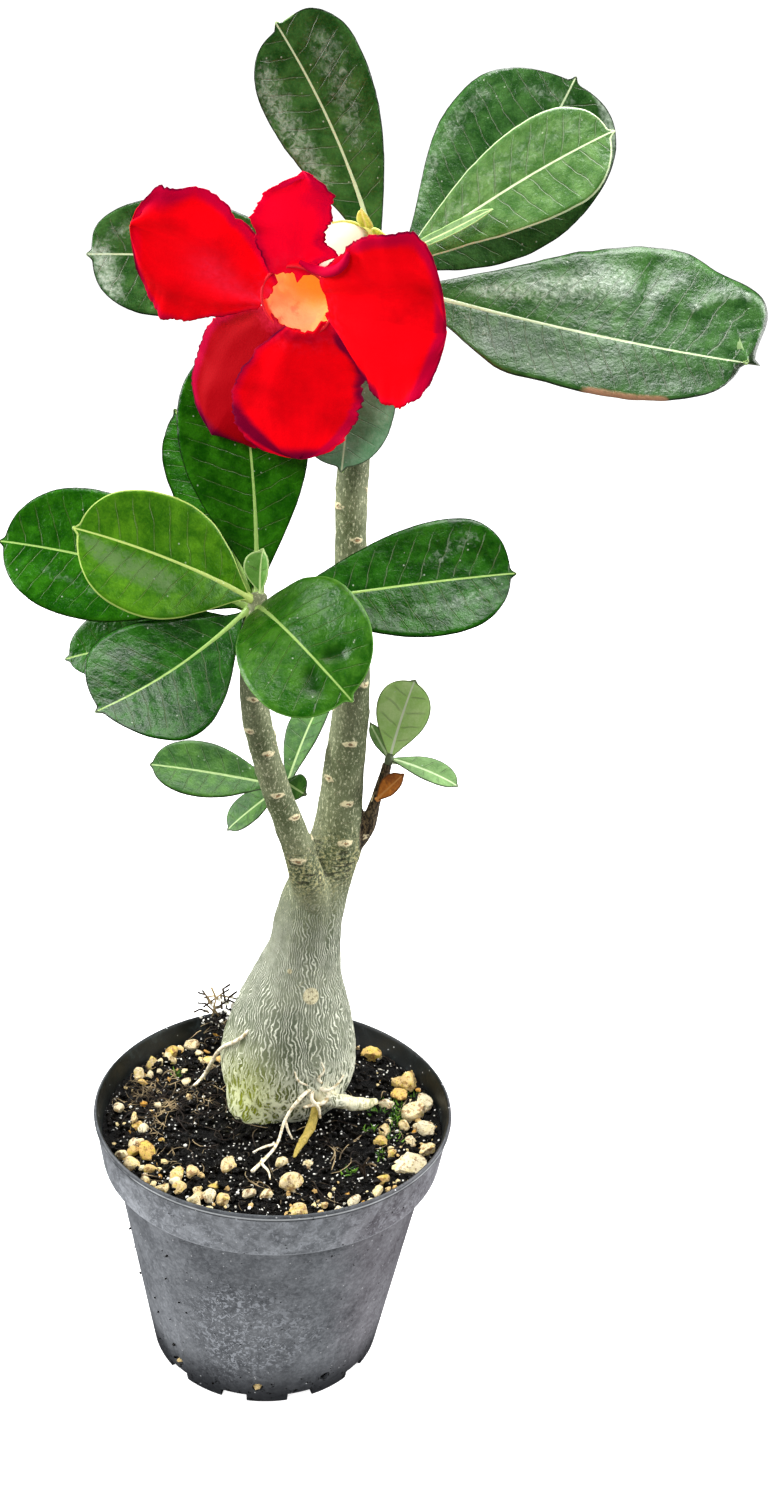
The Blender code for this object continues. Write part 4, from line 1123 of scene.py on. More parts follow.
def bark_finish():
    """Grey-green skin with fine pale wrinkles, cream leaf scars, a green and netted foot, and
    painted shade in the collar's creases.
    """
    finish = Finish("desert_rose_bark")
    x, y, z = finish.along_axes()
    u, v, kind = finish.attribute("scar")
    moss, collar, twig = finish.attribute("stain")
    pale_root, ochre_root, _ = finish.attribute("root")
    low = z.fade(158.0, 128.0)
    foot = (z + finish.noise(12.0) * 16.0).fade(112.0, 90.0)
    turn = finish.maths("ARCTAN2", y - TRUNK[4][1], x - TRUNK[4][0])
    wavy = finish.noise(7.0, 2.0, 0.5, 0.0, (1.0, 1.0, 0.7)) * 8.0
    phase = turn * (BARK_WRINKLES / math.tau) + wavy + finish.noise(1.7, 2.0) * 1.5
    breaks = finish.noise(3.0, 3.0).fade(0.3, 0.6)
    fine_lines = phase.stripes().fade(0.22, 0.42) * low * (0.25 + breaks * 0.75)
    web = finish.net(2.3, (1.0, 1.0, 0.32), finish.bent(1.6, 2.4))
    net = web.fade(0.19, 0.05) * foot
    wrinkle = finish.maths("MAXIMUM", fine_lines * (0.92 + foot * 0.08), net)
    broad = finish.noise(14.0, 3.0)
    patches = broad.fade(0.3, 0.7)
    fleck = finish.noise(0.55, 3.0, 0.7, 0.0, (1.0, 1.0, 0.5))
    grit = finish.noise(0.9, 3.0, 0.7)

    stem = finish.blend(patches, rgb(88, 98, 64), rgb(124, 130, 96))
    stem = finish.blend(fleck.fade(0.55, 0.66) * 0.85, stem, rgb(206, 206, 170))
    stem = finish.blend(fleck.fade(0.44, 0.34) * 0.6, stem, rgb(58, 64, 40))
    skin = finish.blend(patches, rgb(90, 98, 78), rgb(122, 128, 106))
    skin = finish.blend(fleck.fade(0.42, 0.3) * 0.4, skin, rgb(62, 72, 50))
    finish.base(low, stem, skin)
    finish.layer(foot * 0.75, rgb(66, 76, 46))
    finish.layer(moss * 0.9, rgb(136, 146, 8))
    finish.layer(wrinkle * 0.9, finish.blend(moss * 0.5, rgb(230, 232, 212), rgb(196, 206, 96)))
    finish.layer(collar * grit.fade(0.5, 0.6) * 0.7, rgb(196, 186, 130))
    finish.layer(collar * grit.fade(0.48, 0.4) * 0.85, rgb(46, 58, 26))
    # Painted shade: the collar's creases are painted dark.
    creases = finish.noise(1.8, 2.0, 0.5, 0.0, (0.35, 0.35, 1.7)).fade(0.44, 0.36) * collar
    finish.layer(creases * 0.8, rgb(50, 52, 36))
    finish.layer(twig, finish.blend(fleck.fade(0.4, 0.65), rgb(28, 22, 14), rgb(104, 88, 62)))
    rings = finish.noise(1.2, 2.0, 0.5, 0.0, (3.0, 0.4, 0.4)).fade(0.46, 0.36)
    finish.layer(pale_root, finish.blend(rings * 0.6, rgb(224, 216, 176), rgb(110, 120, 60)))
    finish.layer(ochre_root, finish.blend(grit, rgb(110, 118, 34), rgb(206, 170, 84)))

    shaken = (grit - 0.5) * 0.5 + (finish.noise(1.8, 2.0) - 0.5) * 1.1
    far = finish.maths("SQRT", u * u + v * v * 5.0) + shaken
    lid = far.fade(1.15, 0.85) * (1.0 - kind) * finish.noise(1.2, 3.0).fade(0.3, 0.46)
    eye = (far + finish.noise(0.9) * 0.8).fade(0.85, 0.6) * (1.0 - kind)
    disc = finish.length(u, v).fade(1.02, 0.86) * kind
    pits = finish.noise(0.8, 2.0).fade(0.5, 0.6)
    finish.layer(lid * 0.9, rgb(226, 212, 170))
    finish.layer(eye * 0.8, finish.blend(grit.fade(0.4, 0.6), rgb(84, 58, 32), rgb(196, 138, 84)))
    finish.layer(disc, finish.blend(pits * 0.6, rgb(212, 204, 166), rgb(122, 108, 68)))
    height = wrinkle * 0.7 - creases * 0.8 + broad * 0.4 + fleck * 0.35
    height = height + lid * 0.4 - eye * 0.4 - disc * pits * 0.4
    return finish.surface(0.72 - wrinkle * 0.1, height, 0.45)


def root_finish():
    """Pale dry roots."""
    finish = Finish("pale_root")
    grain = finish.noise(1.2, 3.0)
    finish.base(grain.fade(0.3, 0.6), rgb(176, 156, 112), rgb(238, 230, 206))
    return finish.surface(0.75, grain, 0.2)


def pot_finish():
    """Black moulded plastic under a dusty blue-grey film, rubbed, flecked and scratched, with a
    painted reflection, painted shade and painted highlights.
    """
    finish = Finish("worn_black_plastic")
    x, y, z = finish.along_axes()
    broad = finish.noise(20.0, 4.0, 0.6)
    fine = finish.noise(1.4, 4.0, 0.75)
    rubbed = finish.noise(5.0, 5.0, 0.7, 0.6)
    band = z.fade(BAND_FOOT_HEIGHT - 0.3, BAND_FOOT_HEIGHT + 0.1)
    film = broad.fade(0.2, 0.8) * 0.34 + rubbed.fade(0.35, 0.7) * (band * 0.3 + 0.1)
    film = film + fine.fade(0.35, 0.75) * 0.34 + 0.06
    finish.base(film, rgb(68, 71, 76), rgb(176, 180, 186))
    flakes = finish.noise(1.7, 4.0, 0.65, 1.4).fade(0.53, 0.58)
    patch = finish.length(x + 3.0, z - 30.0) + (broad - 0.5) * 30.0
    finish.layer(flakes * (patch.fade(26.0, 8.0) * 0.7 + band * 0.4), rgb(196, 201, 209))
    # Painted reflection: a faint red-mauve tint over the right side.
    finish.layer((x + rubbed * 16.0).fade(26.0, 40.0) * 0.14, rgb(126, 84, 98))
    finish.layer(z.fade(20.0, 1.0) * 0.9, rgb(36, 38, 42))
    # Painted shade: a dark line just under the band's overhang.
    finish.layer(abs(z - BODY_TOP_HEIGHT + 0.6).fade(1.5, 0.2) * 0.55, rgb(44, 46, 50))
    # Painted highlight: a pale line along the band's foot.
    finish.layer(abs(z - BAND_FOOT_HEIGHT - 0.2).fade(0.6, 0.15) * 0.5, rgb(186, 190, 196))
    upright = finish.length(x, y) - (z - BAND_FOOT_HEIGHT) * 0.161
    inner = upright.fade(BAND_FOOT_RADIUS - 0.5, BAND_FOOT_RADIUS - 0.9)
    finish.layer(z.fade(81.6, 82.8) * 0.8, rgb(30, 34, 38))
    finish.layer(inner * band, finish.blend(rubbed.fade(0.5, 0.8), rgb(8, 14, 15), rgb(50, 60, 62)))
    # Painted highlight: a broken pale line round the outside of the rim.
    painted_rim_highlight = abs(z - POT_HEIGHT + 1.0).fade(0.34, 0.12) * (1.0 - inner) * broad.fade(0.35, 0.6)
    finish.layer(painted_rim_highlight * 0.7, rgb(200, 204, 206))
    finish.layer(finish.specks(1.9, 0.16, 0.07, 0.7, 0.8) * 0.8, rgb(224, 226, 228))
    dirt = (finish.noise(1.8, 3.0, 0.7) + z.fade(14.0, 2.0) * 0.08).fade(0.66, 0.72)
    finish.layer(dirt, rgb(16, 14, 12))
    finish.fixed(Specular_IOR_Level=0.5)
    return finish.surface(0.4 + film * 0.3, fine * 0.5 + broad * 0.3 + dirt, 0.1)


def soil_finish():
    """Near-black damp peat with painted glints."""
    finish = Finish("dark_peat")
    crumb = finish.noise(1.0, 4.0, 0.7)
    finish.base(crumb.fade(0.5, 0.75), rgb(2, 2, 2), rgb(22, 18, 13))
    # Painted glints: small white specks.
    finish.layer(finish.specks(1.1, 0.36, 0.22, 0.86, 0.9) * 0.9, rgb(235, 235, 228))
    finish.fixed(Specular_IOR_Level=0.2)
    return finish.surface(crumb.fade(0.58, 0.5) * 0.75 + 0.12, crumb, 1.0)


def crumb_finish(name, dark, light):
    """Loose crumbs of one kind, each with its own tint, and painted glints."""
    finish = Finish(name)
    tint, _, _ = finish.attribute("stone")
    grain = finish.noise(0.6, 3.0)
    finish.base(tint, dark, light)
    finish.layer(grain.fade(0.55, 0.8) * 0.5, dark)
    # Painted glints: small white specks.
    finish.layer(finish.specks(1.0, 0.36, 0.22, 0.91, 0.94) * 0.85, rgb(232, 232, 225))
    finish.fixed(Specular_IOR_Level=0.2)
    return finish.surface(grain.fade(0.6, 0.5) * 0.75 + 0.12, grain, 0.3)


def tinted_finish(name, dark, light, roughness, grain, spread=None):
    """Thin dry or mossy things, each with its own shade between two colours."""
    finish = Finish(name)
    tint, _, _ = finish.attribute("stone")
    finish.base(tint.fade(*spread) if spread else tint, dark, light)
    return finish.surface(roughness, finish.noise(grain), 0.1)


def pumice_finish():
    """Cream to ochre pumice with brown stains and small pits."""
    finish = Finish("pumice_stone")
    tint, _, _ = finish.attribute("stone")
    patch = finish.noise(1.4, 3.0, 0.6)
    pits = finish.noise(0.45, 2.0, 0.6).fade(0.58, 0.7)
    finish.base(tint, rgb(226, 216, 184), rgb(196, 158, 80))
    finish.layer(patch.fade(0.46, 0.66) * (0.25 + tint), rgb(188, 168, 70))
    finish.layer(finish.noise(2.2, 3.0, 0.7).fade(0.52, 0.62) * 0.75, rgb(122, 78, 30))
    finish.layer(pits * 0.7, rgb(76, 56, 30))
    return finish.surface(0.85, patch * 0.6 - pits * 0.6, 0.35)


def make_leaves():
    """The two rosettes, each leaf with its own finish."""
    cream = rgb(200, 216, 172)
    rib = rgb(158, 190, 104)
    dark_edge = rgb(12, 26, 6)
    top = leaf_finish(
        "top_leaf_green", rgb(22, 62, 16), rgb(66, 112, 48), cream, rgb(24, 28, 20), 0.2
    )
    side = leaf_finish(
        "side_leaf_green", rgb(10, 62, 0), rgb(46, 112, 4), rib, dark_edge, 0.16, mirror=0.22
    )
    dark_side = leaf_finish(
        "dark_leaf_green", rgb(8, 52, 4), rgb(40, 100, 14), rib, dark_edge, 0.12, mirror=0.25
    )
    finishes = {
        "leaf_top_front_right": leaf_finish(
            "pale_leaf_green", rgb(44, 88, 26), rgb(98, 138, 70), rgb(206, 220, 178),
            rgb(196, 212, 168), 0.24
        ),
        "leaf_side_bright": leaf_finish(
            "bright_leaf_green", rgb(40, 96, 0), rgb(92, 150, 16), rgb(196, 216, 120),
            rgb(184, 208, 110), 0.32, (92, 122, 72), 0.2
        ),
        "leaf_side_front": leaf_finish(
            "satin_leaf_green", rgb(20, 76, 2), rgb(68, 122, 26), rib, rgb(86, 134, 52), 0.2,
            (126, 166, 92), 0.3
        ),
        # The hanging leaf is painted paler and greyer than the others: a painted sheen and painted
        # light.
        "leaf_top_hanging": leaf_finish(
            "leaf_green_painted_sheen", rgb(84, 134, 92), rgb(134, 170, 136), cream, rgb(60, 70, 50), 0.4
        ),
        "leaf_side_low_front": dark_side,
        "leaf_side_right": dark_side,
    }
    under = underleaf_finish("underleaf_green", rgb(120, 150, 90), rib)
    for number, blade in enumerate(top_leaves() + side_leaves()):
        upper = finishes.get(blade.name, top if blade.name.startswith("leaf_top") else side)
        piece = shaped_blade(blade, LEAF_RELIEF, number + 1.0, upper, under)
        stalk = leaf_stalk(blade, 2.2, 1.25, number + 1.0, upper)
        joined = join_pieces([piece, stalk], "fine_" + blade.name)
        smooth(joined)
        hand_over(joined, "fine_" + blade.name, "leaf", blade.name)


def small_cluster(name, slot, node, blades, uppers, under, extra=()):
    """Small leaves that grow from one bud, as one piece."""
    pieces = []
    for number, (blade, upper) in enumerate(zip(blades, uppers)):
        pieces.append(shaped_blade(blade, SMALL_RELIEF, number + 30.0, upper, under))
        pieces.append(leaf_stalk(blade, 1.0, 0.7, number + 30.0, upper))
    for piece in extra:
        paint(piece, uppers[-1])
        pieces.append(piece)
    joined = join_pieces(pieces, name)
    smooth(joined)
    hand_over(joined, name, slot, node)


def make_shoots(rib, under):
    """The side shoot behind the branch, and the leaves at the end of the twig."""
    shoot = leaf_finish(
        "shoot_leaf_green", rgb(28, 78, 10), rgb(84, 134, 44), rib, rgb(40, 44, 30), 0.4
    )
    twig = leaf_finish(
        "twig_leaf_green", rgb(84, 124, 60), rgb(126, 164, 98), rgb(190, 210, 160),
        rgb(50, 56, 40), 0.5
    )
    # The upright twig leaf faces away from the lights, so it gets a much paler copy of the twig's
    # green: painted light.
    painted_light_twig = leaf_finish(
        "pale_twig_leaf_green", rgb(178, 224, 122), rgb(222, 248, 172), rgb(250, 255, 230),
        rgb(90, 100, 70), 0.5
    )
    small_cluster(
        "fine_side_shoot", "leaf", "side_shoot", shoot_leaves(), (shoot,) * 4, under,
        (tube("stub", SHOOT_STUB, 4, 4),)
    )
    small_cluster(
        "fine_twig_leaves", "leaf", "twig_leaves", twig_leaves(), (painted_light_twig, twig, twig), under,
        (tube("bud", TWIG_BUD, 4, 4),)
    )


def make_single_leaves(under):
    """The two young leaves and the dried one."""
    young = leaf_finish(
        "young_leaf_green", rgb(76, 130, 40), rgb(120, 166, 82), rgb(190, 212, 144),
        rgb(176, 200, 132), 0.35
    )
    narrow = leaf_finish(
        "narrow_leaf_green", rgb(78, 112, 58), rgb(112, 142, 92), rgb(176, 200, 132),
        rgb(150, 180, 110), 0.4
    )
    dried = leaf_finish(
        "dried_leaf_brown", rgb(120, 62, 20), rgb(205, 125, 45), rgb(190, 130, 70),
        rgb(90, 50, 20), 0.75
    )
    dry_under = underleaf_finish("dried_underleaf_brown", rgb(180, 110, 50), rgb(150, 90, 40))
    side_leaf, top_leaf, dry_leaf = single_leaves()
    for blade, slot, upper, lower in (
        (side_leaf, "young_leaf", young, under), (top_leaf, "young_leaf", narrow, under),
        (dry_leaf, "dried_leaf", dried, dry_under),
    ):
        small_cluster("fine_" + blade.name, slot, blade.name, (blade,), (upper,), lower)


def make_small_leaves():
    """The side shoot, the twig's leaves, the young leaves and the dried one."""
    rib = rgb(170, 195, 130)
    under = underleaf_finish("small_underleaf_green", rgb(120, 150, 95), rib)
    make_shoots(rib, under)
    make_single_leaves(under)


def make_flower():
    """The red lobes on the funnel, and the yellow throat in it."""
    front = petal_finish(
        "petal_red", rgb(248, 0, 14), rgb(150, 0, 10), rgb(66, 0, 38), rgb(250, 46, 84)
    )
    back = petal_finish(
        "petal_back_red", rgb(214, 48, 64), rgb(170, 24, 44), rgb(110, 10, 50), rgb(240, 150, 150)
    )
    pieces = []
    for number, blade in enumerate(lobes()):
        pieces.append(shaped_blade(blade, PETAL_RELIEF, number + 50.0, front, back))
    pieces.append(rolled_edge(front))
    throat = tube("throat", FUNNEL, 12, 8, capped=False)
    outward = 0.0
    for vertex in throat.data.vertices:
        point = vertex.co / MM
        outward += vertex.normal.dot(point - nearest_on(FUNNEL, point)[1])
    if outward < 0.0:
        throat.data.flip_normals()
    mouth = Vector(FUNNEL[-1][:3])
    level, upright = level_axes(FACE)
    marks = []
    for vertex in throat.data.vertices:
        way = mouth - vertex.co / MM
        beside = Vector((way.dot(level), way.dot(upright))).normalized()
        broad = clouds(beside.x * 5.0, beside.y * 5.0, 2.0)
        narrow = clouds(beside.x * 14.0, beside.y * 14.0, 6.0)
        low = 0.5 + 0.5 * beside.dot(Vector((-0.6, 0.8)))
        marks.append((way.dot(FACE), 0.5 + 0.9 * broad + 0.5 * narrow, low))
    mark_points(throat, "blade", marks)
    paint(throat, tube_finish(), throat_finish())
    apply_modifier(throat, "SOLIDIFY", thickness=FUNNEL_WALL * MM, offset=-1.0, material_offset=1)
    joined = join_pieces(pieces + [throat], "fine_corolla")
    smooth(joined)
    hand_over(joined, "fine_corolla", "petal", "corolla")


def rolled_edge(finish):
    """The upper lobe's lower corner, rolled up over the lobe at its right."""
    roll = tube("rolled_edge", ROLLED_EDGE, 4, 8)
    paint(roll, finish)
    mark_points(roll, "blade", repeat((0.0, 20.0, 1.6)))
    mark_points(roll, "blade_share", repeat((0.0, 0.6, 51.0)))
    mark_points(roll, "blade_mark", repeat((0.0, 0.3, 0.6)))
    return roll


def throat_finish():
    """The yellow throat, streaked with orange, pink at its lower side and red round its rim, with a
    painted glow.
    """
    finish = Finish("yellow_throat")
    depth, rays, low = finish.attribute("blade")
    grain = finish.noise(2.4, 3.0, 0.6, 0.3)
    warm = finish.blend(rays.fade(0.3, 0.75), rgb(255, 226, 138), rgb(254, 186, 76))
    warm = finish.blend((low + grain * 0.5).fade(0.75, 1.2) * 0.8, warm, rgb(252, 160, 130))
    warm = finish.blend((rays + grain).fade(1.25, 1.5) * 0.7, warm, rgb(244, 112, 92))
    finish.base((depth + grain * 4.0).fade(9.0, 20.0), warm, rgb(246, 176, 66))
    finish.layer((depth + grain * 2.0 - low * 1.2).fade(2.2, 0.6), rgb(238, 34, 48))
    # A painted glow: the throat gives off its own colour as light.
    return finish.surface(0.55, grain + rays * 0.6, 0.4, glow=0.26)


def tube_finish():
    """The pale outside of the flower's tube."""
    finish = Finish("pale_flower_tube")
    depth, _, _ = finish.attribute("blade")
    grain = finish.noise(2.4, 3.0, 0.6)
    finish.base((depth + grain * 4.0).fade(11.0, 4.0), rgb(206, 182, 156), rgb(236, 20, 40))
    return finish.surface(0.55, grain, 0.2)


def aimed(along, up):
    """Heading, rise and roll, in degrees, of a blade that runs along one way and faces another."""
    heading = math.degrees(math.atan2(along.y, along.x))
    rise = math.degrees(math.asin(along.z))
    unrolled = Blade("aim", Vector(), heading, rise, 0.0, 1.0, 1.0, 1.0)
    level_across, level_up = blade_axes(unrolled)[1:]
    roll = math.degrees(math.atan2(up.dot(level_across), up.dot(level_up)))
    return heading, rise, roll


def make_calyx():
    """The stalk, the receptacle and five pointed sepals."""
    green = leaf_finish(
        "sepal_green", rgb(186, 212, 60), rgb(216, 230, 104), rgb(234, 240, 150),
        rgb(228, 236, 140), 0.45
    )
    axis = (THROAT - CALYX_CENTRE).normalized()
    level, upright = level_axes(axis)
    splay = math.radians(SEPAL_SPLAY)
    blades = []
    for number in range(SEPAL_COUNT):
        turn = math.radians(SEPAL_PHASE + 360.0 / SEPAL_COUNT * number)
        outward = level * math.cos(turn) + upright * math.sin(turn)
        along = axis * math.cos(splay) + outward * math.sin(splay)
        facing = axis * math.sin(splay) - outward * math.cos(splay)
        foot = CALYX_CENTRE + outward * 1.4 + axis * 0.6
        blades.append(Blade(
            f"sepal_{number}", foot, *aimed(along, facing), SEPAL_LENGTH, SEPAL_HALF, SEPAL_HALF,
            widest=(0.4, 0.4), blunt=1.3, cup=0.1,
        ))
    stalk = tube("stalk", STALK, 5, 6)
    back = CALYX_CENTRE - axis * 1.6
    front = CALYX_CENTRE + axis * 1.9
    cup = tube("receptacle", ((*back, 1.0), (*CALYX_CENTRE, 2.3), (*front, 1.9)), 5, 6)
    small_cluster(
        "fine_calyx", "young_leaf", "calyx", blades, (green,) * SEPAL_COUNT, green, (stalk, cup)
    )


def back_scars():
    """Leaf scars on the sides of the stems that the photo doesn't show, wound up as leaves are."""
    scars = []
    for stops, lowest, highest, step in ((TRUNK, 168.0, 300.0, 13.0), (BRANCH, 172.0, 236.0, 12.0)):
        for number in range(int((highest - lowest) / step)):
            height = lowest + number * step
            turn = math.radians(90.0 + 62.0 * (number % 3 - 1))
            near, far = next(
                pair for pair in zip(stops, stops[1:]) if pair[0][2] <= height <= pair[1][2]
            )
            share = (height - near[2]) / (far[2] - near[2])
            x, y, _, radius = (a + (b - a) * share for a, b in zip(near, far))
            scars.append((x + radius * math.cos(turn), y + radius * math.sin(turn), height, 1.9))
    return tuple(scars)


def scar_finder(scars):
    """A quick search tree of the scars' middles."""
    tree = kdtree.KDTree(len(scars))
    for number, scar in enumerate(scars):
        tree.insert(scar[:3], number)
    tree.balance()
    return tree


def nearest_on(stops, point):
    """How far a point is from the middle of a stem, and the stem's middle there."""
    best = None
    for first, second in zip(stops, stops[1:]):
        a = Vector(first[:3])
        b = Vector(second[:3])
        share = max(0.0, min(1.0, (point - a).dot(b - a) / (b - a).length_squared))
        middle = a + (b - a) * share
        apart = (point - middle).length
        if best is None or apart < best[0]:
            best = (apart, middle)
    return best


def scar_mark(scar, point, normal):
    """A point's place on its nearest leaf scar, the scar's kind, and how high the scar stands."""
    half = scar[3]
    apart = point - Vector(scar[:3])
    beside = Vector((-normal.y, normal.x, 0.0))
    if beside.length < 0.001:
        beside = Vector((1.0, 0.0, 0.0))
    u = apart.dot(beside.normalized()) / half
    v = apart.z / half
    kind = 1.0 if scar in ROUND_SCARS else 0.0
    mound = 0.0
    if apart.length <= 3.0 * half:
        mound = math.exp(-(u * u + (v + 0.2) ** 2 * 2.0)) * (0.2 if kind else 0.6)
    return (u, v, kind), mound


def bark_stain(point):
    """How mossy, how creased by the branch's collar and how twiggy the bark is at a point."""
    moss = math.exp(-(((point.x + 8.0) / 10.0) ** 2) - ((point.z - 84.0) / 13.0) ** 2)
    collar = math.exp(-(((point.z - 161.0) / 8.0) ** 2)) * (1.0 if point.z < 175 else 0.0)
    near_twig = point.x > 20.5 + (178 - point.z) * 0.05 and point.z < 194.0
    twig = 1.0 if near_twig and nearest_on(TWIG, point)[0] < 3.2 else 0.0
    return moss, collar, twig


def root_mark(point):
    """How far a point belongs to the pale root at the right and to the ochre one at the front."""
    if point.z >= 92.0 or point.x <= 5.0 or point.y >= 12.0:
        return 0.0, 0.0, 0.0
    clear = min(1.0, max(0.0, (off_caudex(point.x, point.y) - 19.5) / 2.0))
    off_right = max(0.0, nearest_on(RIGHT_ROOT, point)[0] - 2.0)
    off_front = max(0.0, nearest_on(FRONT_ROOT, point)[0] - 1.5)
    return math.exp(-off_right * 2.0) * clear, math.exp(-off_front * 2.0) * clear, 0.0


def make_bark():
    """Caudex, stems, twig and fat roots as one skin, with relief, leaf scars and stains."""
    stems = {
        "trunk": (TRUNK, 14), "buttress": (BUTTRESS, 10), "branch": (BRANCH, 10), "twig": (TWIG, 6),
        "right_root": (RIGHT_ROOT, 6), "front_root": (FRONT_ROOT, 6),
    }
    tubes = [tube(name, stops, roundness) for name, (stops, roundness) in stems.items()]
    skin = join_pieces(tubes, "fine_caudex")
    apply_modifier(skin, "REMESH", mode="VOXEL", voxel_size=BARK_GRAIN * MM)
    apply_modifier(skin, "SMOOTH", factor=0.5, iterations=6)
    scars = LEAF_SCARS + back_scars() + ROUND_SCARS
    finder = scar_finder(scars)
    normals = [vertex.normal.copy() for vertex in skin.data.vertices]
    marks = {"scar": [], "stain": [], "root": []}
    for vertex, normal in zip(skin.data.vertices, normals):
        point = vertex.co / MM
        mark, relief = scar_mark(scars[finder.find(point)[1]], point, normal)
        relief += 0.30 * clouds(point.x / 3.0, point.y / 3.0, point.z / 8.0)
        relief += 0.12 * clouds(point.x / 1.2, point.y / 1.2, point.z / 4.0)
        vertex.co = (point + normal * relief) * MM
        marks["scar"].append(mark)
        marks["stain"].append(bark_stain(point))
        marks["root"].append(root_mark(point))
    for name, threes in marks.items():
        mark_points(skin, name, threes)
    paint(skin, bark_finish())
    smooth(skin)
    hand_over(skin, "fine_caudex", "bark", "caudex")


def make_thread_roots():
    """The thin roots that run over the caudex and the soil, from the knot where they leave it."""
    threads = [tube("thread", THREAD_ROOT, 3, 8), tube("side_thread", SIDE_THREAD_ROOT, 3, 8)]
    for number, stops in enumerate(ROOT_HAIRS):
        threads.append(tube(f"hair_{number}", stops, 2, 6))
    joined = join_pieces(threads, "thread_roots")
    paint(joined, root_finish())
    smooth(joined)
    hand_over(joined, "thread_roots", "bark", "caudex")


def ring_up(stops, sides):
    """A wall raised ring by ring from its first stop of radius and height, as by hand."""
    radius, height = stops[0]
    deselect()
    bpy.ops.mesh.primitive_circle_add(
        vertices=sides, radius=radius * MM, fill_type="NGON", location=(0.0, 0.0, height * MM)
    )
    piece = bpy.context.object
    set_at_origin(piece)
    bpy.ops.object.mode_set(mode="EDIT")
    bpy.ops.mesh.select_all(action="SELECT")
    for next_radius, next_height in stops[1:]:
        bpy.ops.mesh.extrude_region_move(
            TRANSFORM_OT_translate={"value": (0.0, 0.0, (next_height - height) * MM)}
        )
        share = next_radius / radius
        bpy.ops.transform.resize(
            value=(share, share, 1.0), center_override=(0.0, 0.0, next_height * MM)
        )
        radius = next_radius
        height = next_height
    bpy.ops.object.mode_set(mode="OBJECT")
    return piece


def make_pot():
    """The pot's shell, raised from its foot up the outside, over the lip and down to its floor."""
    step_height = BAND_FOOT_HEIGHT + WALL
    inside = RIM_RADIUS - WALL
    pot = ring_up((
        (FOOT_RADIUS - 0.9, 0.0), (FOOT_RADIUS - 0.3, 0.25), (FOOT_RADIUS, 0.9),
        (BODY_TOP_RADIUS - 0.1, BODY_TOP_HEIGHT), (BODY_TOP_RADIUS + 0.2, 68.2),
        (BODY_TOP_RADIUS + 0.8, BAND_FOOT_HEIGHT), (BAND_FOOT_RADIUS - 0.5, BAND_FOOT_HEIGHT),
        (BAND_FOOT_RADIUS - 0.1, 68.8), (BAND_FOOT_RADIUS + 0.1, 69.6), (RIM_RADIUS - 0.55, 81.8),
        (RIM_RADIUS - 0.1, 82.3), (RIM_RADIUS, 82.9), (RIM_RADIUS - 0.1, 83.6),
        (RIM_RADIUS - 0.45, POT_HEIGHT), (inside + 0.45, POT_HEIGHT), (inside + 0.1, 83.6),
        (inside, 83.0), (BAND_FOOT_RADIUS - WALL + 0.1, step_height + 0.6),
        (BAND_FOOT_RADIUS - WALL - 0.5, step_height), (BODY_TOP_RADIUS - WALL, step_height - 0.4),
        (FOOT_RADIUS - WALL, FLOOR), (1.0, FLOOR),
    ), POT_SIDES)
    face_outward(pot)
    cutters = []
    for number in range(NOTCH_COUNT):
        turn = math.radians(NOTCH_PHASE + 360.0 / NOTCH_COUNT * number)
        deselect()
        bpy.ops.mesh.primitive_cube_add(
            size=1.0, location=Vector((math.cos(turn), math.sin(turn), 0.0)) * FOOT_RADIUS * MM,
            rotation=(0.0, 0.0, turn), scale=Vector(NOTCH_SIZE) * MM
        )
        cutters.append(bpy.context.object)
    for angle in HOLE_ANGLES:
        turn = math.radians(angle)
        place = Vector((FOOT_RADIUS * math.cos(turn), FOOT_RADIUS * math.sin(turn), HOLE_HEIGHT))
        deselect()
        bpy.ops.mesh.primitive_cylinder_add(
            vertices=24, radius=HOLE_RADIUS * MM, depth=8 * WALL * MM, location=place * MM,
            rotation=(0.0, math.pi / 2, turn)
        )
        cutters.append(bpy.context.object)
    cutter = join_pieces(cutters, "cutter")
    apply_modifier(pot, "BOOLEAN", operation="DIFFERENCE", object=cutter, solver="EXACT")
    bpy.data.objects.remove(cutter, do_unlink=True)
    paint(pot, pot_finish())
    smooth(pot, 35)
    hand_over(pot, "fine_pot", "pot", "pot")


def inner_radius(height):
    """The pot's inner radius at a height above the step of its band."""
    share = (height - BAND_FOOT_HEIGHT - WALL) / (POT_HEIGHT - BAND_FOOT_HEIGHT - WALL)
    return BAND_FOOT_RADIUS - WALL + share * (RIM_RADIUS - BAND_FOOT_RADIUS)


def soil_height(x, y):
    """The height of the soil's lumpy top."""
    lift = 1.1 * clouds(x / 6.0, y / 6.0, 1.0) + 0.8 * clouds(x / 2.2, y / 2.2, 2.0)
    return SOIL_TOP - 0.4 + lift + 0.5 * clouds(x, y, 3.0)


def make_soil():
    """The peat: a filled body whose top is broken into lumps."""
    reach = inner_radius(SOIL_TOP)
    stops = [(FOOT_RADIUS - WALL - 0.3, FLOOR + 0.3), (BODY_TOP_RADIUS - WALL - 0.3, 69.0)]
    stops += [(reach * (1.0 - ring / SOIL_RINGS), SOIL_TOP) for ring in range(SOIL_RINGS)]
    soil = ring_up(stops, SOIL_SIDES)
    for vertex in soil.data.vertices:
        point = vertex.co / MM
        if point.z > SOIL_TOP - 1.0:
            vertex.co.z = soil_height(point.x, point.y) * MM
    paint(soil, soil_finish())
    smooth(soil)
    hand_over(soil, "fine_soil", "soil", "soil")


def off_caudex(x, y):
    """How far a place on the soil is from the caudex's middle."""
    return math.hypot(x - CAUDEX_MIDDLE[0], y - CAUDEX_MIDDLE[1])


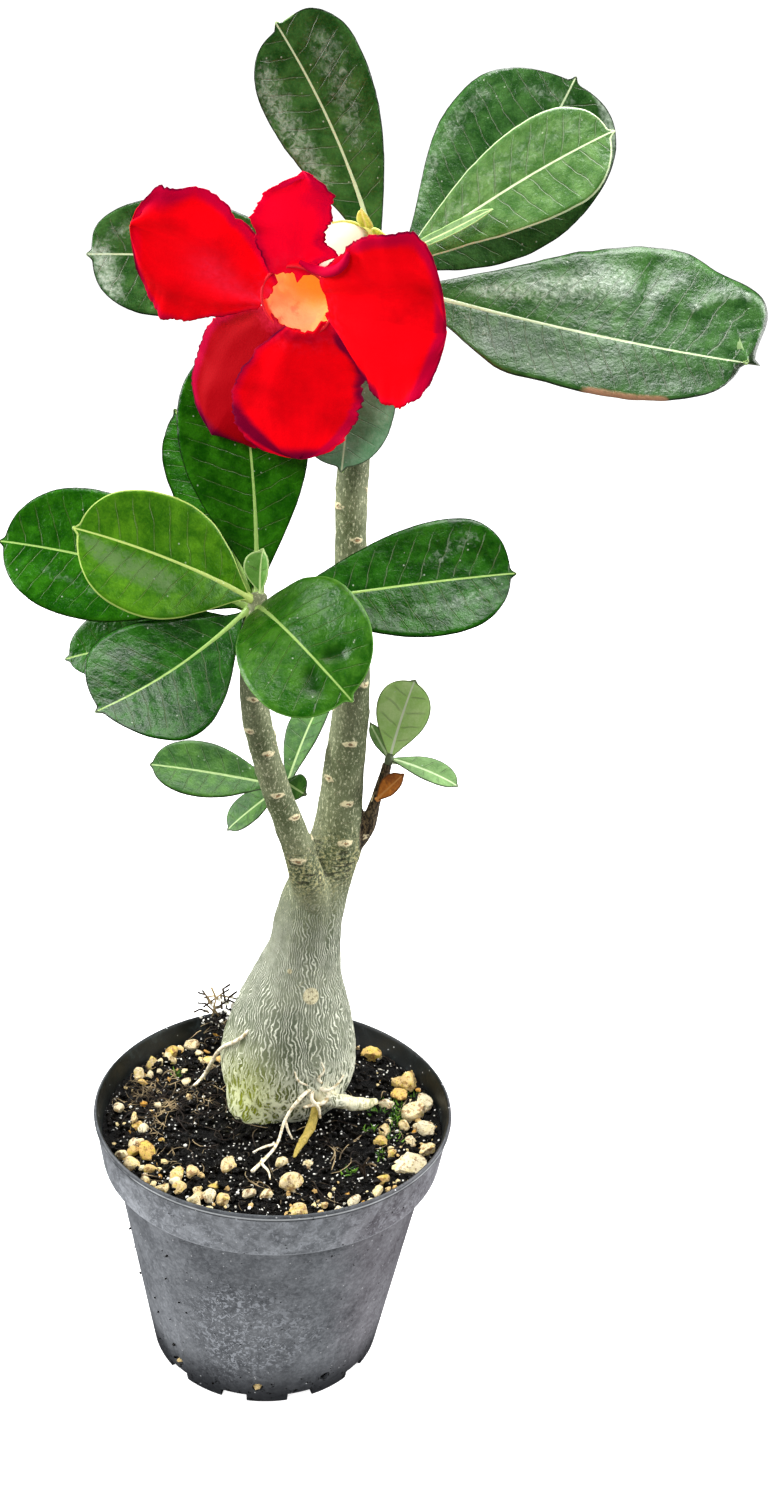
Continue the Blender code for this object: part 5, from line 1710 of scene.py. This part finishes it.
def in_pot(draw):
    """A random place on the soil, clear of the caudex and of its buttress."""
    while True:
        x = draw.uniform(-SOIL_REACH, SOIL_REACH)
        y = draw.uniform(-SOIL_REACH, SOIL_REACH)
        off_buttress = math.hypot(x - BUTTRESS_MIDDLE[0], y - BUTTRESS_MIDDLE[1])
        clear = off_caudex(x, y) > CAUDEX_CLEAR and off_buttress > BUTTRESS_CLEAR
        if clear and math.hypot(x, y) < SOIL_REACH:
            return x, y


def random_direction(draw):
    """Any direction, each as likely as the next."""
    return Vector((draw.gauss(0, 1), draw.gauss(0, 1), draw.gauss(0, 1)))


def random_turn(draw, tilt):
    """A turn about the upright axis after a random tilt of up to so many radians."""
    turn = Matrix.Rotation(draw.uniform(0, math.tau), 3, "Z")
    return turn @ Matrix.Rotation(draw.uniform(-tilt, tilt), 3, "X")


def scattered(name, draw, places, finish):
    """Crumbs at places of x, y, z and size, each a ball knocked out of shape, as one piece."""
    bm = bmesh.new()
    layer = bm.verts.layers.float_vector.new("stone")
    for x, y, z, size in places:
        made = bmesh.ops.create_icosphere(bm, subdivisions=1, radius=1.0)["verts"]
        turn = random_turn(draw, 1)
        long, wide, high = draw.uniform(0.7, 1.3), draw.uniform(0.6, 1.1), draw.uniform(0.5, 1.0)
        stretch = (long, wide, high * CRUMB_FLAT)
        tint = draw.random()
        for vertex in made:
            knocked = vertex.co * draw.uniform(0.75, 1.15)
            spot = turn @ Vector(knocked[i] * stretch[i] for i in range(3))
            vertex.co = (Vector((x, y, z)) + spot * size / 2) * MM
            vertex[layer] = (tint, 0.0, 0.0)
    from_faces(bm, name, finish)


def heaped(draw):
    """A random place on the upper half of one of the lumps of the heap at the back."""
    x, y, z, size = draw.choice(HEAP)
    direction = random_direction(draw)
    direction.z = abs(direction.z)
    return tuple(Vector((x, y, z)) + direction.normalized() * size * 0.5 * draw.uniform(0.7, 1.1))


def on_wall(draw):
    """A random place on the outside of the pot's wall, at its left and front."""
    turn, height = math.radians(draw.uniform(175, 250)), draw.uniform(3.0, 66.0)
    reach = FOOT_RADIUS + (BODY_TOP_RADIUS - FOOT_RADIUS) * height / BODY_TOP_HEIGHT + 0.1
    return reach * math.cos(turn), reach * math.sin(turn), height


def make_crumbs():
    """Dark lumps of peat, white grit and small pumice crumbs over the soil and on the heap."""
    draw = random.Random(5)
    lumps = []
    for _ in range(SOIL_LUMPS):
        x, y = in_pot(draw)
        size = draw.uniform(0.8, 2.6) * draw.uniform(0.6, 1.3)
        lumps.append((x, y, soil_height(x, y) + 0.3 * size, size))
    for _ in range(HEAP_LUMPS):
        spot = heaped(draw)
        lumps.append((*spot, draw.uniform(0.8, 2.6 if spot[2] < 85.0 else 1.7)))
    for _ in range(WALL_LUMPS):
        lumps.append((*on_wall(draw), draw.uniform(0.7, 1.5)))
    scattered("peat_crumbs", draw, lumps, crumb_finish("peat_crumb", rgb(0, 0, 0), rgb(14, 11, 7)))
    grit = []
    for _ in range(SOIL_GRIT):
        x, y = in_pot(draw)
        size = draw.uniform(0.3, 0.7) if draw.random() < 0.88 else draw.uniform(0.8, 1.5)
        grit.append((x, y, soil_height(x, y) + 0.7, size))
    for _ in range(LOOSE_HEAP_GRIT):
        grit.append((*heaped(draw), draw.uniform(0.8, 2.6)))
    pale = crumb_finish("white_grit", rgb(170, 165, 150), rgb(245, 244, 236))
    scattered("white_grit", draw, grit + list(HEAP_GRIT), pale)
    pumice = []
    for _ in range(PUMICE_TRIES):
        x, y = in_pot(draw)
        if math.hypot(x, y) > draw.uniform(26.0, SOIL_REACH):
            pumice.append((x, y, soil_height(x, y) + 0.7, draw.uniform(1.0, 3.0)))
    ochre = crumb_finish("pumice_crumb", rgb(178, 130, 50), rgb(226, 210, 160))
    scattered("pumice_crumbs", draw, pumice + list(FOOT_PUMICE), ochre)


def add_thread(curve, stops):
    """One more line of a curve, through stops of x, y, z and radius."""
    spline = curve.splines.new("POLY")
    spline.points.add(len(stops) - 1)
    for point, (x, y, z, radius) in zip(spline.points, stops):
        point.co = (x * MM, y * MM, z * MM, 1.0)
        point.radius = radius


def fibre_foot(draw, number):
    """Where a fibre starts: most at the left, some on the heap, and the rest anywhere."""
    if number < LEFT_FIBRES:
        return draw.gauss(-33.0, 9.0), draw.gauss(8.0, 11.0)
    if number < LEFT_FIBRES + HEAP_FIBRES:
        return draw.gauss(-18.0, 4.0), draw.gauss(40.0, 2.5)
    return in_pot(draw)


def make_fibres():
    """Fine fibres and root hairs lying over the soil, thickest at the left and on the heap."""
    draw = random.Random(8)
    curve = rod_curve("fibres", 0)
    steps = 6
    for number in range(FIBRES):
        x, y = fibre_foot(draw, number)
        if math.hypot(x, y) > 49.0 or off_caudex(x, y) < 20.0:
            continue
        heap = LEFT_FIBRES <= number < LEFT_FIBRES + HEAP_FIBRES
        base = 9.0 * draw.random() if heap else 0.0
        heading = draw.uniform(0, math.tau)
        bend = draw.gauss(0, 0.45)
        length = draw.uniform(3.0, 15.0) * (0.5 if heap else 1.0)
        arch = draw.uniform(0.2, 1.6) * (1.6 if heap else 1.0)
        radius = draw.uniform(0.08, 0.2)
        stops = []
        for step in range(steps + 1):
            ground = max(soil_height(x, y), SOIL_TOP)
            z = ground + 0.2 + base + arch * math.sin(math.pi * step / steps)
            stops.append((x, y, z, radius * (1.0 - 0.5 * step / steps)))
            x += math.cos(heading) * length / steps
            y += math.sin(heading) * length / steps
            if math.hypot(x, y) > SOIL_REACH:
                x, y = x * 0.97, y * 0.97
            heading += bend + draw.gauss(0, 0.2)
        add_thread(curve, stops)
    for stops in HEAP_TWIGS + SPRIG:
        add_thread(curve, [(*stop, 0.4) for stop in stops])
    piece = rods("soil_fibres", curve)
    tints = []
    for vertex in piece.data.vertices:
        tint = 0.5 + 0.9 * clouds(vertex.co.x / 0.006, vertex.co.y / 0.006, 4.0)
        tints.append((max(0.0, min(1.0, tint)), 0.0, 0.0))
    mark_points(piece, "stone", tints)
    straw = tinted_finish("soil_fibre", rgb(34, 22, 12), rgb(196, 172, 128), 0.8, 0.8, (0.35, 1.1))
    paint(piece, straw)
    hand_over(piece, "soil_fibres", "soil", "soil")


def make_moss():
    """Tufts of moss among the stones at the right and round the tip of the right root."""
    draw = random.Random(21)
    bm = bmesh.new()
    layer = bm.verts.layers.float_vector.new("stone")
    for tuft_x, tuft_y, spread in MOSS_TUFTS:
        for _ in range(TUFT_LEAVES):
            x = tuft_x + draw.gauss(0, spread * 0.6)
            y = tuft_y + draw.gauss(0, spread * 0.6)
            foot = Vector((x, y, soil_height(x, y)))
            lean = Vector((draw.gauss(0, 0.6), draw.gauss(0, 0.6), 1.0)).normalized()
            tall = draw.uniform(1.2, 2.8)
            side = lean.orthogonal().normalized() * draw.uniform(0.25, 0.5)
            tint = draw.random()
            corners = (foot - side, foot + lean.cross(side), foot + side, foot + lean * tall)
            made = [bm.verts.new(corner * MM) for corner in corners]
            for vertex in made:
                vertex[layer] = (tint, 0.0, 0.0)
            for a, b, c in ((0, 1, 3), (1, 2, 3), (2, 0, 3), (0, 2, 1)):
                bm.faces.new((made[a], made[b], made[c]))
    bmesh.ops.recalc_face_normals(bm, faces=bm.faces)
    green = tinted_finish("moss_green", rgb(28, 74, 22), rgb(120, 170, 50), 0.7, 0.6)
    from_faces(bm, "moss_tufts", green)


def stone(centre, size, draw, detail):
    """One worn, pitted stone: a ball cut by random planes and roughened."""
    deselect()
    bpy.ops.mesh.primitive_ico_sphere_add(subdivisions=detail, radius=1.0)
    piece = bpy.context.object
    planes = []
    for _ in range(STONE_CUTS):
        direction = random_direction(draw).normalized()
        planes.append((direction, draw.uniform(0.5, 0.85)))
    stretch = Vector((draw.uniform(1.0, 1.4), draw.uniform(0.85, 1.15), draw.uniform(0.8, 1.0)))
    turn = random_turn(draw, 0.5)
    shift = draw.uniform(0, 100)
    for vertex in piece.data.vertices:
        direction = vertex.co.normalized()
        radius = 1.0
        for normal, distance in planes:
            facing = direction.dot(normal)
            if facing > 0.1:
                radius = min(radius, distance / facing)
        radius += 0.08 * clouds(direction.x * 3 + shift, direction.y * 3, direction.z * 3)
        spot = turn @ Vector(direction[i] * radius * stretch[i] for i in range(3))
        vertex.co = (centre + spot * size / 2) * MM
    mark_points(piece, "stone", repeat((draw.random(), 0.0, shift)))
    return piece


def make_stones():
    """The pumice stones that stand half out of the soil."""
    draw = random.Random(11)
    extra = []
    while len(extra) < SMALL_STONES:
        turns = [draw.gauss(middle, spread) for middle, spread in SMALL_STONE_TURNS]
        turn = math.radians(draw.choice(turns))
        reach = draw.uniform(34.0, 49.0)
        extra.append((reach * math.cos(turn), reach * math.sin(turn), draw.uniform(1.5, 3.2)))
    pieces = []
    for x, y, size in STONES + tuple(extra):
        inward = min(1.0, (STONE_REACH - size / 2) / math.hypot(x, y))
        centre = Vector((x * inward, y * inward, SOIL_TOP + STONE_LIFT * size + 0.3))
        pieces.append(stone(centre, size * 1.25, draw, 4 if size > 3.9 else 3 if size > 2.4 else 2))
    joined = join_pieces(pieces, "pumice_stones")
    paint(joined, pumice_finish())
    smooth(joined, 32)
    hand_over(joined, "pumice_stones", "soil", "soil")


def set_camera():
    """The photographed view: a little above the flower, looking down."""
    tip = math.radians(CAMERA_TIP)
    lean = math.radians(CAMERA_LEAN)
    forward = Vector((0, math.cos(tip), -math.sin(tip)))
    level = Vector((1, 0, 0))
    upward = level.cross(forward)
    right = level * math.cos(lean) + upward * math.sin(lean)
    above = upward * math.cos(lean) - level * math.sin(lean)
    data = bpy.data.cameras.new("camera")
    data.lens = CAMERA_LENS
    data.sensor_width = CAMERA_FILM
    data.clip_start = 0.01
    camera = add_object("camera", data)
    camera.matrix_world = Matrix((right, above, -forward)).transposed().to_4x4()
    camera.location = CAMERA_PLACE
    bpy.context.scene.camera = camera


def set_lights():
    """Square soft lights that face the plant's middle; the front one leaves no glint."""
    for name, (place, size, power) in LIGHTS.items():
        data = bpy.data.lights.new(name, "AREA")
        data.size = size
        data.energy = power
        light = add_object(name, data)
        light.location = place
        light.rotation_euler = (LIGHT_AIM - Vector(place)).to_track_quat("-Z", "Y").to_euler()
        light.visible_glossy = name != "front_light"


def set_studio():
    """A pale floor and sweep round the plant, bright air and the lights."""
    deselect()
    sweep = ring_up(SWEEP, 64)
    bm = bmesh.new()
    bm.from_mesh(sweep.data)
    lid = [face for face in bm.faces if face.calc_center_median().z > 3.9]
    bmesh.ops.delete(bm, geom=lid, context="FACES")
    bmesh.ops.recalc_face_normals(bm, faces=bm.faces)
    bmesh.ops.reverse_faces(bm, faces=bm.faces)
    bm.to_mesh(sweep.data)
    bm.free()
    sweep.name = "studio_sweep"
    white = Finish("studio_white")
    white.fixed(Emission_Color=(1.0, 1.0, 1.0, 1.0), Emission_Strength=0.75)
    white.colour = (0.85, 0.85, 0.85, 1.0)
    paint(sweep, white.surface(0.9))
    sweep.visible_diffuse = False
    sweep.visible_glossy = False
    world = bpy.data.worlds.new("studio_air")
    world.use_nodes = True
    air = world.node_tree.nodes["Background"].inputs
    air["Color"].default_value = (1.0, 1.0, 1.0, 1.0)
    air["Strength"].default_value = AIR_LIGHT
    world.cycles_visibility.glossy = False
    bpy.context.scene.world = world
    set_lights()
    bpy.context.scene.view_settings.view_transform = "Standard"


def main():
    """Make every fine piece, the camera and the studio."""
    set_camera()
    set_studio()
    make_leaves()
    make_small_leaves()
    make_flower()
    make_calyx()
    make_bark()
    make_thread_roots()
    make_pot()
    make_soil()
    make_stones()
    make_crumbs()
    make_fibres()
    make_moss()


main()
